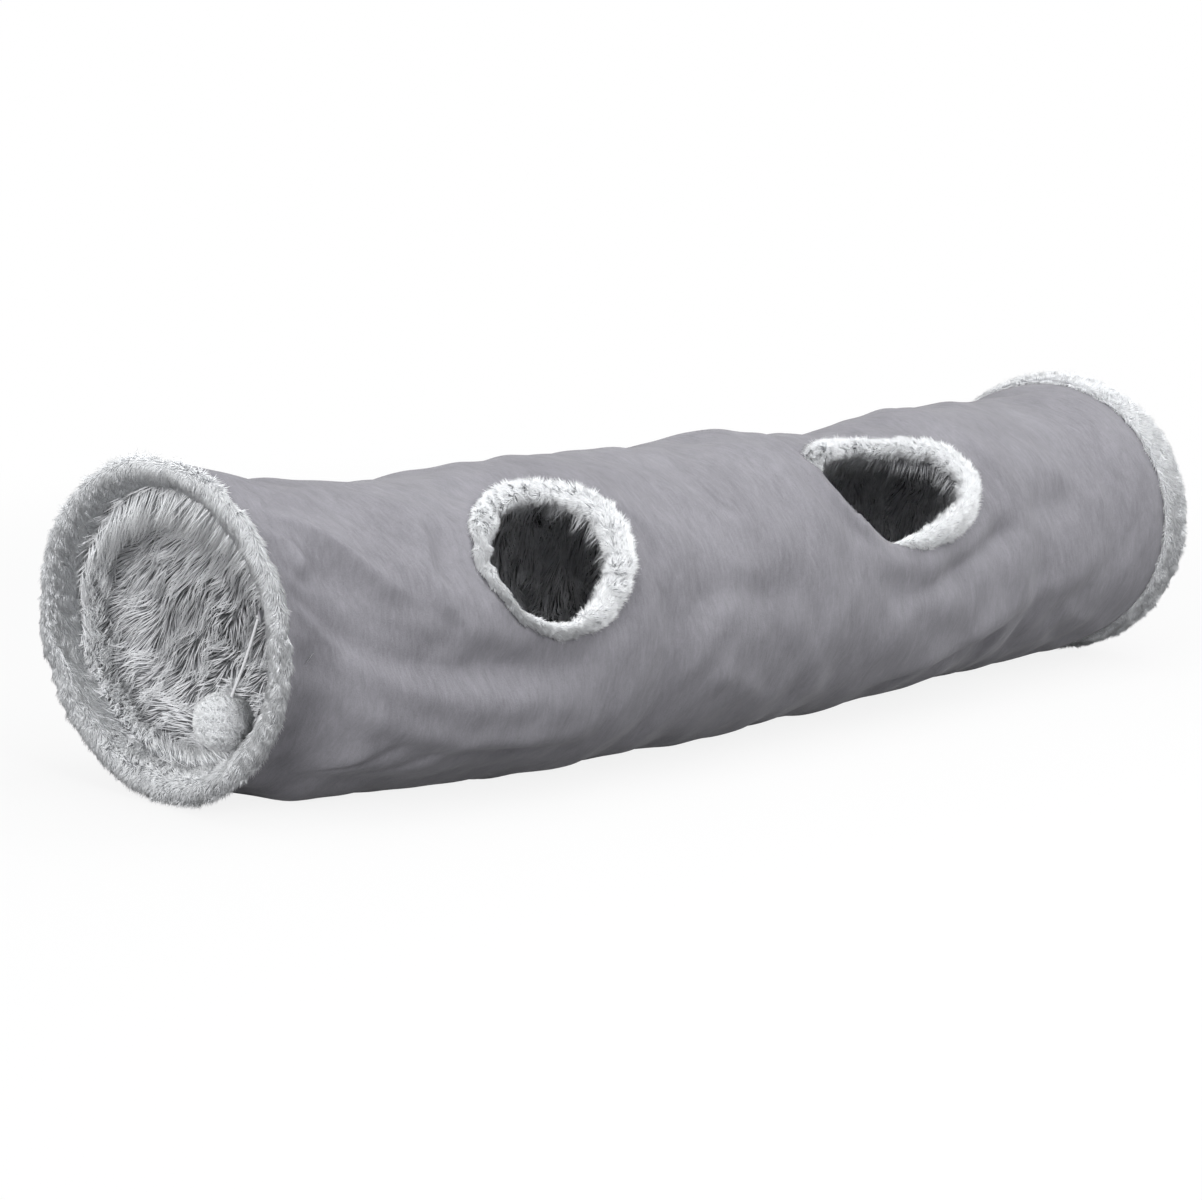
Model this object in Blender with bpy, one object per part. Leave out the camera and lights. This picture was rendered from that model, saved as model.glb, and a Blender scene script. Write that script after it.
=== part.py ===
"""Plush cat tunnel: a cloth tube on spring-wire hoops, with a plush lining, plush trims
at both mouths and round two windows, and a pompom on a cord in the near mouth.

Metres, +Z up. The tunnel lies on the floor (z = 0) with the near mouth towards -X, the
windows towards -Y and up, and its origin under the middle of its bounding box.
"""

import math

import bmesh
import bpy
import numpy as np
from mathutils import Matrix, Vector
from mathutils.bvhtree import BVHTree

# Gaps and overruns
CLEARANCE = 0.0003
CUT_OVERRUN = 0.05

# Tube of cloth
SHELL_RADIUS = 0.142
SHELL_WALL = 0.0012
LINING_WALL = 0.005
BAY_1_LENGTH = 0.342
BAY_2_LENGTH = 0.240
BAY_3_LENGTH = 0.298
BAY_4_LENGTH = 0.246

# Spring-wire hoops, the sleeves that crimp them shut, and their sewn casings
WIRE_RADIUS = 0.00125
FERRULE_WALL = 0.00045
FERRULE_LENGTH = 0.014
CASING_WIDTH = 0.012
CASING_FLOOR = 0.00125
CASING_LIP = 0.0015

# Plush trims of the two mouths: how far they stand out past the shell and in past the lining
TRIM_PROUD = 0.011
TRIM_LIP = 0.00465
ROLL_DEPTH = 0.010
BAND_WIDTH = 0.038
BAND_EDGE = 0.0045
BAND_FRONT = 0.012

# Windows: cloth left between the cut and the nearest hoop, angle up from the far side over
# the top, and cut-out size
NEAR_WINDOW_HEM = 0.012
NEAR_WINDOW_ANGLE = math.radians(141.5)
NEAR_WINDOW_LENGTH = 0.148
NEAR_WINDOW_HEIGHT = 0.146
FAR_WINDOW_HEM = 0.014
FAR_WINDOW_ANGLE = math.radians(131)
FAR_WINDOW_LENGTH = 0.232
FAR_WINDOW_HEIGHT = 0.138
WINDOW_TRIM_WIDTH = 0.019
WINDOW_TRIM_CROWN = 0.009

# Pompom on its cord
POMPOM_RADIUS = 0.025
POMPOM_ANGLE = math.radians(222)
POMPOM_CLEARANCE = 0.0004
CORD_RADIUS = 0.0015
KNOT_RADIUS = 0.002
TAB_ANGLE = math.radians(165)
TAB_THICKNESS = 0.0025
TAB_WIDTH = 0.007
TAB_LENGTH = 0.010

# How the soft tube lies on the floor
RING_YAW = math.radians(14.2)
BOW = 0.069
BOW_STATION_SHARES = (0.0, 0.1, 0.2, 0.3, 0.4, 0.5, 0.6, 0.7, 0.8, 0.9, 1.0)
BOW_OFFSET_SHARES = (0.0, 0.60, 0.93, 1.0, 0.98, 0.86, 0.67, 0.43, 0.20, 0.06, 0.0)
SETTLE_LENGTH = 0.075
HOOP_SETTLE_LENGTH = 0.035
BAY_1_SAG = 0.010
BAY_2_SAG = 0.002
BAY_3_SAG = 0.014
BAY_4_SAG = 0.003

# Folds: how high or deep each one is, and its crease as (share of the length, degrees)
FOLD_WIDTH = 0.026
FOLD_RUN_IN = 0.045
WINDOW_FOLD_SHARE = 0.25
WINDOW_HOLD_SHARE = 1.5
SHOULDER_RIDGE = 0.006
SHOULDER_RIDGE_SHARES = ((0.03, 128), (0.07, 140), (0.12, 153), (0.18, 165), (0.23, 171))
SHOULDER_VALLEY = 0.013
SHOULDER_VALLEY_SHARES = ((0.02, 142), (0.08, 163), (0.12, 170), (0.20, 178), (0.27, 184))
LOWER_RIDGE = 0.005
LOWER_RIDGE_SHARES = ((0.02, 172), (0.09, 186), (0.18, 202), (0.28, 209))
LOWER_VALLEY = 0.008
LOWER_VALLEY_SHARES = ((0.04, 191), (0.10, 206), (0.17, 218), (0.24, 226))
MIDDLE_DENT = 0.005
MIDDLE_DENT_SHARES = ((0.32, 160), (0.40, 172), (0.49, 170))
FAR_VALLEY = 0.009
FAR_VALLEY_SHARES = ((0.55, 178), (0.67, 174), (0.75, 166), (0.83, 158), (0.89, 152))
FAR_RIDGE = 0.004
FAR_RIDGE_SHARES = ((0.57, 232), (0.69, 206), (0.83, 190), (0.91, 182))

# Faceting
AROUND = 32
WIRE_SIDES = 5
ROLL_STEPS = 3
WINDOW_STEPS = 28

BAY_LENGTHS = (BAY_1_LENGTH, BAY_2_LENGTH, BAY_3_LENGTH, BAY_4_LENGTH)
BAY_SAGS = (BAY_1_SAG, BAY_2_SAG, BAY_3_SAG, BAY_4_SAG)
BAY_ROWS = (8, 6, 7, 5)
TUNNEL_LENGTH = sum(BAY_LENGTHS)
HALF_STEP = math.pi / AROUND
FLAT = math.cos(HALF_STEP)

# Layers, from the outside in; every layer has the same facets
CASING_OUTER = SHELL_RADIUS - SHELL_WALL - CLEARANCE
WIRE_RING = CASING_OUTER - CASING_LIP - WIRE_RADIUS
CASING_INNER = WIRE_RING - WIRE_RADIUS - CLEARANCE - CASING_FLOOR
LINING_RADIUS = CASING_INNER - CLEARANCE
BORE_RADIUS = LINING_RADIUS - LINING_WALL
FERRULE_RADIUS = WIRE_RADIUS + CLEARANCE + FERRULE_WALL
CLOTH_END = FERRULE_RADIUS + CLEARANCE
CASING_HOLD = CASING_WIDTH / 2 + CLEARANCE
TRIM_RADIUS = SHELL_RADIUS + TRIM_PROUD
TRIM_BORE = BORE_RADIUS - TRIM_LIP
ROLL_RADIUS = (TRIM_RADIUS - TRIM_BORE) / 2

# The planes of all hoops stay parallel; across lies in the plane and along is its normal
ALONG = Vector((math.cos(RING_YAW), math.sin(RING_YAW), 0))
ACROSS = Vector((-math.sin(RING_YAW), math.cos(RING_YAW), 0))
UP = Vector((0, 0, 1))

FOLDS = (
    (SHOULDER_RIDGE, SHOULDER_RIDGE_SHARES),
    (-SHOULDER_VALLEY, SHOULDER_VALLEY_SHARES),
    (LOWER_RIDGE, LOWER_RIDGE_SHARES),
    (-LOWER_VALLEY, LOWER_VALLEY_SHARES),
    (-MIDDLE_DENT, MIDDLE_DENT_SHARES),
    (-FAR_VALLEY, FAR_VALLEY_SHARES),
    (FAR_RIDGE, FAR_RIDGE_SHARES),
)

# Windows: name, distance from the near mouth, angle, length and height of the hole
WINDOWS = (
    (
        "near_window",
        BAY_1_LENGTH - NEAR_WINDOW_HEM - NEAR_WINDOW_LENGTH / 2,
        NEAR_WINDOW_ANGLE,
        NEAR_WINDOW_LENGTH,
        NEAR_WINDOW_HEIGHT,
    ),
    (
        "far_window",
        BAY_1_LENGTH + BAY_2_LENGTH + FAR_WINDOW_HEM + FAR_WINDOW_LENGTH / 2,
        FAR_WINDOW_ANGLE,
        FAR_WINDOW_LENGTH,
        FAR_WINDOW_HEIGHT,
    ),
)


def eased(value, low, high):
    """0 below low, 1 above high and smooth between."""
    share = min(max((value - low) / (high - low), 0), 1)
    return share * share * (3 - 2 * share)


def smooth_share(at, stations, offsets):
    """Value at one station on a smooth curve through the listed shares."""
    slopes = np.gradient(np.array(offsets), np.array(stations))
    k = int(np.clip(np.searchsorted(stations, at) - 1, 0, len(stations) - 2))
    span = stations[k + 1] - stations[k]
    t = (at - stations[k]) / span
    return (
        (2 * t**3 - 3 * t**2 + 1) * offsets[k]
        + (t**3 - 2 * t**2 + t) * span * slopes[k]
        + (3 * t**2 - 2 * t**3) * offsets[k + 1]
        + (t**3 - t**2) * span * slopes[k + 1]
    )


def hoop_station(index):
    """Distance from the near mouth to a hoop; 0 and 4 are the mouths."""
    return sum(BAY_LENGTHS[:index])


def held_length(index):
    """Length of tube that a hoop's casing or a mouth's trim keeps square, each way."""
    if index == 0:
        return ROLL_DEPTH
    return BAND_WIDTH + CLEARANCE if index == len(BAY_LENGTHS) else CASING_HOLD


def held(station, index):
    """1 where a hoop or mouth keeps the tube square, falling to 0 where it lies free."""
    low = held_length(index)
    settle = SETTLE_LENGTH if index in (0, len(BAY_LENGTHS)) else HOOP_SETTLE_LENGTH
    return 1 - eased(abs(station - hoop_station(index)), low, low + settle)


def bow(station):
    """Sideways place of the free tube."""
    return -BOW * smooth_share(station / TUNNEL_LENGTH, BOW_STATION_SHARES, BOW_OFFSET_SHARES)


def centre(station):
    """Middle of the tube's section whose plane crosses the chord at this station."""
    free = side = bow(station)
    for index in range(len(BAY_LENGTHS) + 1):
        ring = hoop_station(index)
        square = bow(ring) + (station - ring) * math.tan(RING_YAW)
        side += held(station, index) * (square - free)
    lift = (TRIM_RADIUS - SHELL_RADIUS) * (held(station, 0) + held(station, len(BAY_LENGTHS)))
    return Vector((station, side, (half_height(station) + lift) * FLAT))


def free_span(index):
    """Start and end of the part of a bay that nothing keeps square."""
    return hoop_station(index) + held_length(index), hoop_station(index + 1) - held_length(index + 1)


def bay_at(station):
    """Bay that holds a station."""
    inner_hoops = [hoop_station(index) for index in range(1, len(BAY_LENGTHS))]
    return sum(station > hoop for hoop in inner_hoops)


def sag(station):
    """How much lower than a hoop the cloth's top lies here."""
    index = bay_at(station)
    start, end = free_span(index)
    share = min(max((station - start) / (end - start), 0), 1)
    return BAY_SAGS[index] * math.sin(math.pi * share) ** 2


def half_height(station):
    """Half the height of the section."""
    return SHELL_RADIUS - sag(station) / 2


def half_width(station):
    """Half the width of the section, which spreads as the top sags."""
    return SHELL_RADIUS + sag(station) / 2


def window_hold(station, angle):
    """Share of a fold that is left here: the stiff hem of a window smooths it."""
    share = 1.0
    for _, middle, turn, length, height in WINDOWS:
        along = (station - middle) / (length / 2 + FOLD_WIDTH / 2)
        round_it = math.remainder(angle - turn, 2 * math.pi) * SHELL_RADIUS
        away = math.hypot(along, round_it / (height / 2 + FOLD_WIDTH / 2))
        reach = eased(away, 1 - WINDOW_FOLD_SHARE, WINDOW_HOLD_SHARE)
        share *= WINDOW_FOLD_SHARE + (1 - WINDOW_FOLD_SHARE) * reach
    return share


def fold(station, angle):
    """How far the cloth stands out (or in, below zero) at a place on the tube."""
    start, end = free_span(bay_at(station))
    hold = eased(station, start, start + FOLD_RUN_IN) * eased(-station, -end, FOLD_RUN_IN - end)
    hold *= window_hold(station, angle)
    total = 0.0
    for height, path_shares in FOLDS:
        stations = [share * TUNNEL_LENGTH for share, _ in path_shares]
        if stations[0] < station < stations[-1]:
            turns = [turn for _, turn in path_shares]
            middle = math.radians(np.interp(station, stations, turns))
            away = math.remainder(angle - middle, 2 * math.pi) * SHELL_RADIUS / FOLD_WIDTH
            run = eased(station, stations[0], stations[0] + FOLD_RUN_IN)
            run *= eased(-station, -stations[-1], FOLD_RUN_IN - stations[-1])
            total += height * run * math.exp(-away * away)
    return total * hold


def smooth_point(station, angle, out):
    """Point on the tube without its folds, some way out from its outer face."""
    return (
        centre(station)
        + ACROSS * (half_width(station) + out) * math.cos(angle)
        + UP * (half_height(station) + out) * math.sin(angle)
    )


def tube_point(station, angle, depth):
    """Point on the tube, a depth below its outer face, kept above the floor."""
    point = smooth_point(station, angle, fold(station, angle) - depth)
    floor = depth * FLAT
    return Vector((point.x, point.y, max(point.z, floor)))


def ring_point(middle, along, radius, angle):
    """Point of a ring about a hoop's middle."""
    return middle + ALONG * along + (ACROSS * math.cos(angle) + UP * math.sin(angle)) * radius


def clear_scene():
    """Start with an empty scene."""
    for old in list(bpy.data.objects):
        bpy.data.objects.remove(old)


def material(name, colour, roughness, metallic=0.0):
    """Plain material of one finish."""
    made = bpy.data.materials.new(name)
    made.use_nodes = True
    shader = made.node_tree.nodes["Principled BSDF"]
    shader.inputs["Base Color"].default_value = (*colour, 1)
    shader.inputs["Roughness"].default_value = roughness
    shader.inputs["Metallic"].default_value = metallic
    return made


def empty(name, place, parent=None):
    """Empty that carries the pieces of one moving body."""
    made = bpy.data.objects.new(name, None)
    made.empty_display_size = WIRE_RING
    bpy.context.collection.objects.link(made)
    made.parent = parent
    made.location = place - (Vector(parent["place"]) if parent else Vector())
    made["place"] = place
    return made


def finish(name, bm, body, finish_material):
    """Turn a bmesh in tunnel coordinates into an object whose origin is its body's."""
    bmesh.ops.recalc_face_normals(bm, faces=bm.faces)
    if bm.calc_volume(signed=True) < 0:
        bmesh.ops.reverse_faces(bm, faces=bm.faces)
    place = Vector(body["place"])
    bmesh.ops.translate(bm, verts=bm.verts, vec=-place)
    mesh = bpy.data.meshes.new(name)
    bm.to_mesh(mesh)
    bm.free()
    mesh.shade_smooth()
    mesh.set_sharp_from_angle(angle=math.radians(50))
    mesh.materials.append(finish_material)
    made = bpy.data.objects.new(name, mesh)
    bpy.context.collection.objects.link(made)
    made.parent = body
    return made


def wrapped_grid(columns, rows, point, fold_back=None):
    """Closed ring-shaped skin: a grid whose columns go round and whose rows close too.

    Cloth gives the row at which its skin turns back on itself, so that the facets of
    its two faces are split the same way and never cross.
    """
    bm = bmesh.new()
    bmesh.ops.create_grid(bm, x_segments=columns, y_segments=rows, size=0.5)
    if fold_back is not None:
        turn = fold_back / rows - 0.5
        front = [face for face in bm.faces if face.calc_center_median().y < turn]
        back = [face for face in bm.faces if face.calc_center_median().y > turn]
        bmesh.ops.triangulate(bm, faces=front, quad_method="FIXED")
        bmesh.ops.triangulate(bm, faces=back, quad_method="ALTERNATE")
    for vert in bm.verts:
        column = round((vert.co.x + 0.5) * columns) % columns
        row = round((vert.co.y + 0.5) * rows) % rows
        vert.co = point(column, row)
    bmesh.ops.remove_doubles(bm, verts=bm.verts, dist=CLEARANCE / 100)
    return bm


def turned_ring(middle, profile, steps=AROUND):
    """Ring turned from a closed outline of (along, radius) points, or part of one."""
    bm = bmesh.new()
    verts = [bm.verts.new(ring_point(middle, a, r, HALF_STEP)) for a, r in profile]
    edges = [bm.edges.new((v, verts[i - 1])) for i, v in enumerate(verts)]
    whole = steps == AROUND
    if not whole:
        first = bm.faces.new(verts)
        edges = list(first.edges)
        verts = list(first.verts)
    made = bmesh.ops.spin(
        bm,
        geom=verts + edges,
        cent=middle,
        axis=ALONG,
        angle=2 * math.pi * steps / AROUND,
        steps=steps,
        use_merge=whole,
    )
    if not whole:
        last = [e for e in made["geom_last"] if isinstance(e, bmesh.types.BMEdge)]
        bmesh.ops.contextual_create(bm, geom=last)
    return bm


def bay_rows(index):
    """Stations of a bay's sections: its ends, and even rows between what holds it."""
    square = math.cos(RING_YAW)
    start, end = hoop_station(index), hoop_station(index + 1)
    first_end = CLOTH_END if index == 0 else CLEARANCE / 2
    last_end = CLOTH_END if index == len(BAY_LENGTHS) - 1 else CLEARANCE / 2
    first = start + held_length(index) * square
    last = end - held_length(index + 1) * square
    between = np.linspace(first, last, BAY_ROWS[index])
    return [start + first_end * square, *between, end - last_end * square]


def bay_layer(name, index, depth, wall, body, finish_material):
    """One bay of the shell or the lining."""
    stations = bay_rows(index)
    faces = [(s, depth) for s in stations] + [(s, depth + wall) for s in reversed(stations)]

    def point(column, row):
        station, below = faces[row]
        return tube_point(station, HALF_STEP * (2 * column + 1) - math.pi / 2, below)

    return finish(name, wrapped_grid(AROUND, len(faces), point, len(stations)), body, finish_material)


def arc(depth, first, last, steps):
    """Points of the roll's outline between two turns; a quarter turn is outermost."""
    roll_ring = TRIM_RADIUS - ROLL_RADIUS
    turns = [first + (last - first) * k / steps for k in range(1, steps + 1)]
    return [(depth * math.cos(t), roll_ring + ROLL_RADIUS * math.sin(t)) for t in turns]


def mouth_trim(name, middle, outward, body, finish_material, band):
    """Plush roll round a mouth, open behind for the wire, the shell and the lining."""
    roll_ring = TRIM_RADIUS - ROLL_RADIUS
    seat = SHELL_RADIUS + CLEARANCE
    inner_seat = BORE_RADIUS - CLEARANCE
    top, front, low = math.pi / 2, 0, -math.pi / 2
    tail = -math.pi - math.asin((inner_seat - roll_ring) / ROLL_RADIUS)
    if band:
        depth = BAND_FRONT
        outline = [
            (-BAND_WIDTH, seat),
            (-BAND_WIDTH, seat + BAND_EDGE / 2),
            (-BAND_WIDTH + BAND_EDGE, seat + BAND_EDGE),
            (-BAND_WIDTH / 2, (seat + BAND_EDGE + TRIM_RADIUS) / 2),
            (0, TRIM_RADIUS),
        ]
    else:
        depth = ROLL_DEPTH
        shoulder = math.pi - math.asin((seat - roll_ring) / ROLL_RADIUS)
        outline = [(depth * math.cos(shoulder), seat)]
        outline += arc(depth, shoulder, top, ROLL_STEPS - 1)
    outline += arc(depth, top, front, ROLL_STEPS) + arc(depth, front, low, ROLL_STEPS)
    outline += arc(depth, low, tail, ROLL_STEPS - 1)
    outline += [(CLOTH_END, inner_seat), (CLOTH_END, seat)]
    bm = turned_ring(middle, [(outward * along, radius) for along, radius in outline])
    return finish(name, bm, body, finish_material)


def hoop_wire(name, middle, body, finish_material):
    """Ring of spring wire."""
    step = 2 * math.pi / WIRE_SIDES
    outline = [
        (WIRE_RADIUS * math.cos(k * step), WIRE_RING + WIRE_RADIUS * math.sin(k * step))
        for k in range(WIRE_SIDES)
    ]
    return finish(name, turned_ring(middle, outline), body, finish_material)


def wire_ferrule(name, middle, body, finish_material):
    """Sleeve that crimps the two ends of a wire together, on the gap in the casing."""
    bm = bmesh.new()
    sides = 2 * WIRE_SIDES
    reach = FERRULE_LENGTH / 2
    hole = WIRE_RADIUS + CLEARANCE
    for radius, along in ((FERRULE_RADIUS, -reach), (hole, -reach)):
        for k in range(sides):
            turn = 2 * math.pi * k / sides
            bm.verts.new((along, radius * math.cos(turn), radius * math.sin(turn)))
    bm.verts.ensure_lookup_table()
    rim = [(bm.verts[k], bm.verts[(k + 1) % sides]) for k in range(sides)]
    bore = [(bm.verts[sides + k], bm.verts[sides + (k + 1) % sides]) for k in range(sides)]
    faces = [bm.faces.new((a, b, d, c)) for (a, b), (c, d) in zip(rim, bore)]
    made = bmesh.ops.extrude_face_region(bm, geom=faces)
    moved = [v for v in made["geom"] if isinstance(v, bmesh.types.BMVert)]
    bmesh.ops.translate(bm, verts=moved, vec=(FERRULE_LENGTH, 0, 0))
    frame = Matrix((UP, ALONG, ACROSS)).transposed().to_4x4()
    frame.translation = middle + ACROSS * WIRE_RING * FLAT
    bm.transform(frame)
    return finish(name, bm, body, finish_material)


def hoop_casing(name, middle, body, finish_material):
    """Sewn casing that holds a hoop's wire in a groove, with a gap over the sleeve."""
    half = CASING_WIDTH / 2
    groove = WIRE_RADIUS + CLEARANCE
    floor = WIRE_RING - groove
    outline = [
        (-half, CASING_INNER),
        (half, CASING_INNER),
        (half, CASING_OUTER),
        (groove, CASING_OUTER),
        (groove, floor),
        (-groove, floor),
        (-groove, CASING_OUTER),
        (-half, CASING_OUTER),
    ]
    return finish(name, turned_ring(middle, outline, AROUND - 1), body, finish_material)


def window_frame(station, angle):
    """Middle of a window, and axes along it, up it and out of it."""
    step = CLOTH_END
    middle = smooth_point(station, angle, 0)
    along = smooth_point(station + step, angle, 0) - smooth_point(station - step, angle, 0)
    turn = step / SHELL_RADIUS
    round_it = smooth_point(station, angle + turn, 0) - smooth_point(station, angle - turn, 0)
    out = along.cross(round_it).normalized()
    if out.dot(middle - centre(station)) < 0:
        out = -out
    long_axis = (Vector((1, 0, 0)) - out * out.x).normalized()
    return middle, long_axis, out.cross(long_axis), out


def window_cutter(name, frame, length, height, body):
    """Oval cutter that runs in through the wall at a window."""
    middle, long_axis, up_axis, out = frame
    bm = bmesh.new()
    bmesh.ops.create_cone(
        bm,
        cap_ends=True,
        segments=WINDOW_STEPS,
        radius1=0.5,
        radius2=0.5,
        depth=2 * CUT_OVERRUN,
    )
    turned = Matrix((long_axis * length, up_axis * height, out)).transposed().to_4x4()
    turned.translation = middle
    bm.transform(turned)
    made = finish(name, bm, body, None)
    made.hide_render = True
    made.display_type = "WIRE"
    return made


def window_trim(name, frame, length, height, shell, body, finish_material):
    """Plush ring that fills the edge of a window and stands proud of the shell."""
    middle, long_axis, up_axis, out = frame
    place = Vector(body["place"])
    skin = bmesh.new()
    skin.from_mesh(shell.data)
    bmesh.ops.translate(skin, verts=skin.verts, vec=place)
    tree = BVHTree.FromBMesh(skin)
    skin.free()
    deep = SHELL_RADIUS - BORE_RADIUS + CLEARANCE
    crown = WINDOW_TRIM_CROWN
    # (share of the width in from the rim, height over the shell)
    outline_shares = ((0, -1), (0, 0.1), (0.22, 0.8), (0.5, 1), (0.8, 0.7), (1, 0), (1, -0.6), (0.6, -1))

    def point(column, row):
        inset_share, height_share = outline_shares[row]
        turn = 2 * math.pi * column / WINDOW_STEPS
        inset = CLEARANCE + WINDOW_TRIM_WIDTH * inset_share
        side = middle + long_axis * (length / 2 - inset) * math.cos(turn)
        side += up_axis * (height / 2 - inset) * math.sin(turn)
        hit = tree.ray_cast(side + out * CUT_OVERRUN, -out)[0]
        rise = height_share * (crown if height_share > 0 else deep)
        return hit + out * rise

    bm = wrapped_grid(WINDOW_STEPS, len(outline_shares), point)
    return finish(name, bm, body, finish_material)


def cut(target, cutter):
    """Cut a window through a piece."""
    boolean = target.modifiers.new("window", "BOOLEAN")
    boolean.operation = "DIFFERENCE"
    boolean.solver = "EXACT"
    boolean.object = cutter


def pompom_places(middle):
    """Middle of the knot under the tab, and middle of the pompom resting on the trim."""
    knot_ring = TRIM_BORE * FLAT - 2 * CLEARANCE - TAB_THICKNESS - KNOT_RADIUS
    pompom_ring = TRIM_BORE * FLAT - POMPOM_CLEARANCE - POMPOM_RADIUS
    return (
        ring_point(middle, 0, knot_ring, TAB_ANGLE),
        ring_point(middle, 0, pompom_ring, POMPOM_ANGLE),
    )


def cord_tab(name, middle, body, finish_material):
    """Short tape sewn flat to the inside of the near trim."""
    bm = bmesh.new()
    bmesh.ops.create_cube(bm, size=1)
    radial = ACROSS * math.cos(TAB_ANGLE) + UP * math.sin(TAB_ANGLE)
    round_it = ALONG.cross(radial)
    box = Matrix((radial * TAB_THICKNESS, round_it * TAB_LENGTH, ALONG * TAB_WIDTH))
    frame = box.transposed().to_4x4()
    ring = TRIM_BORE * FLAT - CLEARANCE - TAB_THICKNESS / 2
    frame.translation = ring_point(middle, 0, ring, TAB_ANGLE)
    bm.transform(frame)
    return finish(name, bm, body, finish_material)


def ball(name, place, radius, steps, body, finish_material):
    """Round piece: the knot or the pompom."""
    bm = bmesh.new()
    bmesh.ops.create_uvsphere(bm, u_segments=2 * steps, v_segments=steps, radius=radius)
    bmesh.ops.translate(bm, verts=bm.verts, vec=place)
    return finish(name, bm, body, finish_material)


def pompom_cord(name, knot, pompom, body, finish_material):
    """Cord from the knot down to the pompom, bowed a little by its own lay."""
    # Distance down from the knot's face and distance sideways, chosen by hand
    route = (
        (0.0000, 0.0000),
        (0.0060, 0.0002),
        (0.0120, 0.0005),
        (0.0180, 0.0008),
        (0.0240, 0.0011),
        (0.0300, 0.0013),
        (0.0360, 0.0014),
        (0.0420, 0.0014),
        (0.0480, 0.0013),
        (0.0540, 0.0011),
        (0.0600, 0.0008),
        (0.0660, 0.0005),
        (0.0710, 0.0002),
    )
    down = (pompom - knot).normalized()
    side = down.cross(ALONG)
    start = knot + down * (KNOT_RADIUS + CLEARANCE)
    end = pompom - down * (POMPOM_RADIUS + CLEARANCE)
    curve = bpy.data.curves.new(name, "CURVE")
    curve.dimensions = "3D"
    curve.bevel_depth = CORD_RADIUS
    curve.bevel_resolution = 2
    curve.use_fill_caps = True
    spline = curve.splines.new("POLY")
    points = [start + down * d + side * s for d, s in route] + [end]
    spline.points.add(len(points) - 1)
    place = Vector(body["place"])
    for point, co in zip(spline.points, points):
        point.co = (*(co - place), 1)
    curve.materials.append(finish_material)
    made = bpy.data.objects.new(name, curve)
    bpy.context.collection.objects.link(made)
    made.parent = body
    return made


def centre_on_floor(base):
    """Move the whole tunnel so that its box stands with its bottom middle at the origin."""
    bpy.context.view_layer.update()
    corners = [
        made.matrix_world @ Vector(corner)
        for made in bpy.data.objects
        if made.type == "MESH" and not made.hide_render
        for corner in made.bound_box
    ]
    low = Vector([min(c[k] for c in corners) for k in range(3)])
    high = Vector([max(c[k] for c in corners) for k in range(3)])
    base.location = -Vector(((low.x + high.x) / 2, (low.y + high.y) / 2, low.z))


def build():
    """Build every piece of the tunnel."""
    clear_scene()
    suede = material("suede_cloth", (0.185, 0.182, 0.195), 0.85)
    plush = material("plush", (0.66, 0.67, 0.70), 0.95)
    tape = material("casing_tape", (0.30, 0.30, 0.32), 0.9)
    cord_white = material("cord", (0.72, 0.73, 0.76), 0.8)
    steel = material("spring_steel", (0.45, 0.45, 0.46), 0.35, 1.0)

    base = empty("tunnel", Vector())
    names = ("near_mouth", "hoop_1", "hoop_2", "hoop_3", "far_mouth")
    bodies = []
    for index, name in enumerate(names):
        place = centre(hoop_station(index))
        bodies.append(empty(name + "_body", place, bodies[-1] if bodies else base))

    for index, (name, body) in enumerate(zip(names, bodies)):
        middle = Vector(body["place"])
        hoop_wire(name + "_wire", middle, body, steel)
        wire_ferrule(name + "_ferrule", middle, body, steel)
        if 0 < index < len(names) - 1:
            hoop_casing(name + "_casing", middle, body, tape)
    mouth_trim("near_mouth_trim", Vector(bodies[0]["place"]), -1, bodies[0], plush, False)
    mouth_trim("far_mouth_trim", Vector(bodies[-1]["place"]), 1, bodies[-1], plush, True)

    layers = []
    for index, body in enumerate(bodies[:-1]):
        bay = f"bay_{index + 1}"
        shell = bay_layer(bay + "_shell", index, 0, SHELL_WALL, body, suede)
        depth = SHELL_RADIUS - LINING_RADIUS
        layers.append((shell, bay_layer(bay + "_lining", index, depth, LINING_WALL, body, plush)))

    for name, station, angle, length, height in WINDOWS:
        index = bay_at(station)
        frame = window_frame(station, angle)
        shell, lining = layers[index]
        window_trim(name + "_trim", frame, length, height, shell, bodies[index], plush)
        cutter = window_cutter(name + "_cutter", frame, length, height, bodies[index])
        cut(shell, cutter)
        cut(lining, cutter)

    mouth = Vector(bodies[0]["place"])
    knot, pompom = pompom_places(mouth)
    cord_tab("cord_tab", mouth, bodies[0], tape)
    knot_body = empty("cord_knot_body", knot, bodies[0])
    ball("cord_knot", knot, KNOT_RADIUS, 5, knot_body, cord_white)
    pompom_body = empty("pompom_body", knot, knot_body)
    pompom_cord("pompom_cord", knot, pompom, pompom_body, cord_white)
    ball("pompom", pompom, POMPOM_RADIUS, 10, pompom_body, plush)
    centre_on_floor(base)


build()
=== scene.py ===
"""Looks of the plush cat tunnel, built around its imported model.

Everything is in metres and in the model's own coordinates: +X runs along the tunnel from
the near mouth to the far one, +Z is up, and the windows face -Y and up. Places on the
tube are given by a station, the distance from the near mouth along the chord, and an
angle that is 0 on the far side, 90 degrees at the top and 180 degrees on the near side.
"""

import logging
import math
from dataclasses import dataclass
from enum import Enum

import bmesh
import bpy
import numpy as np
from mathutils import Matrix, Vector
from mathutils.bvhtree import BVHTree


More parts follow.
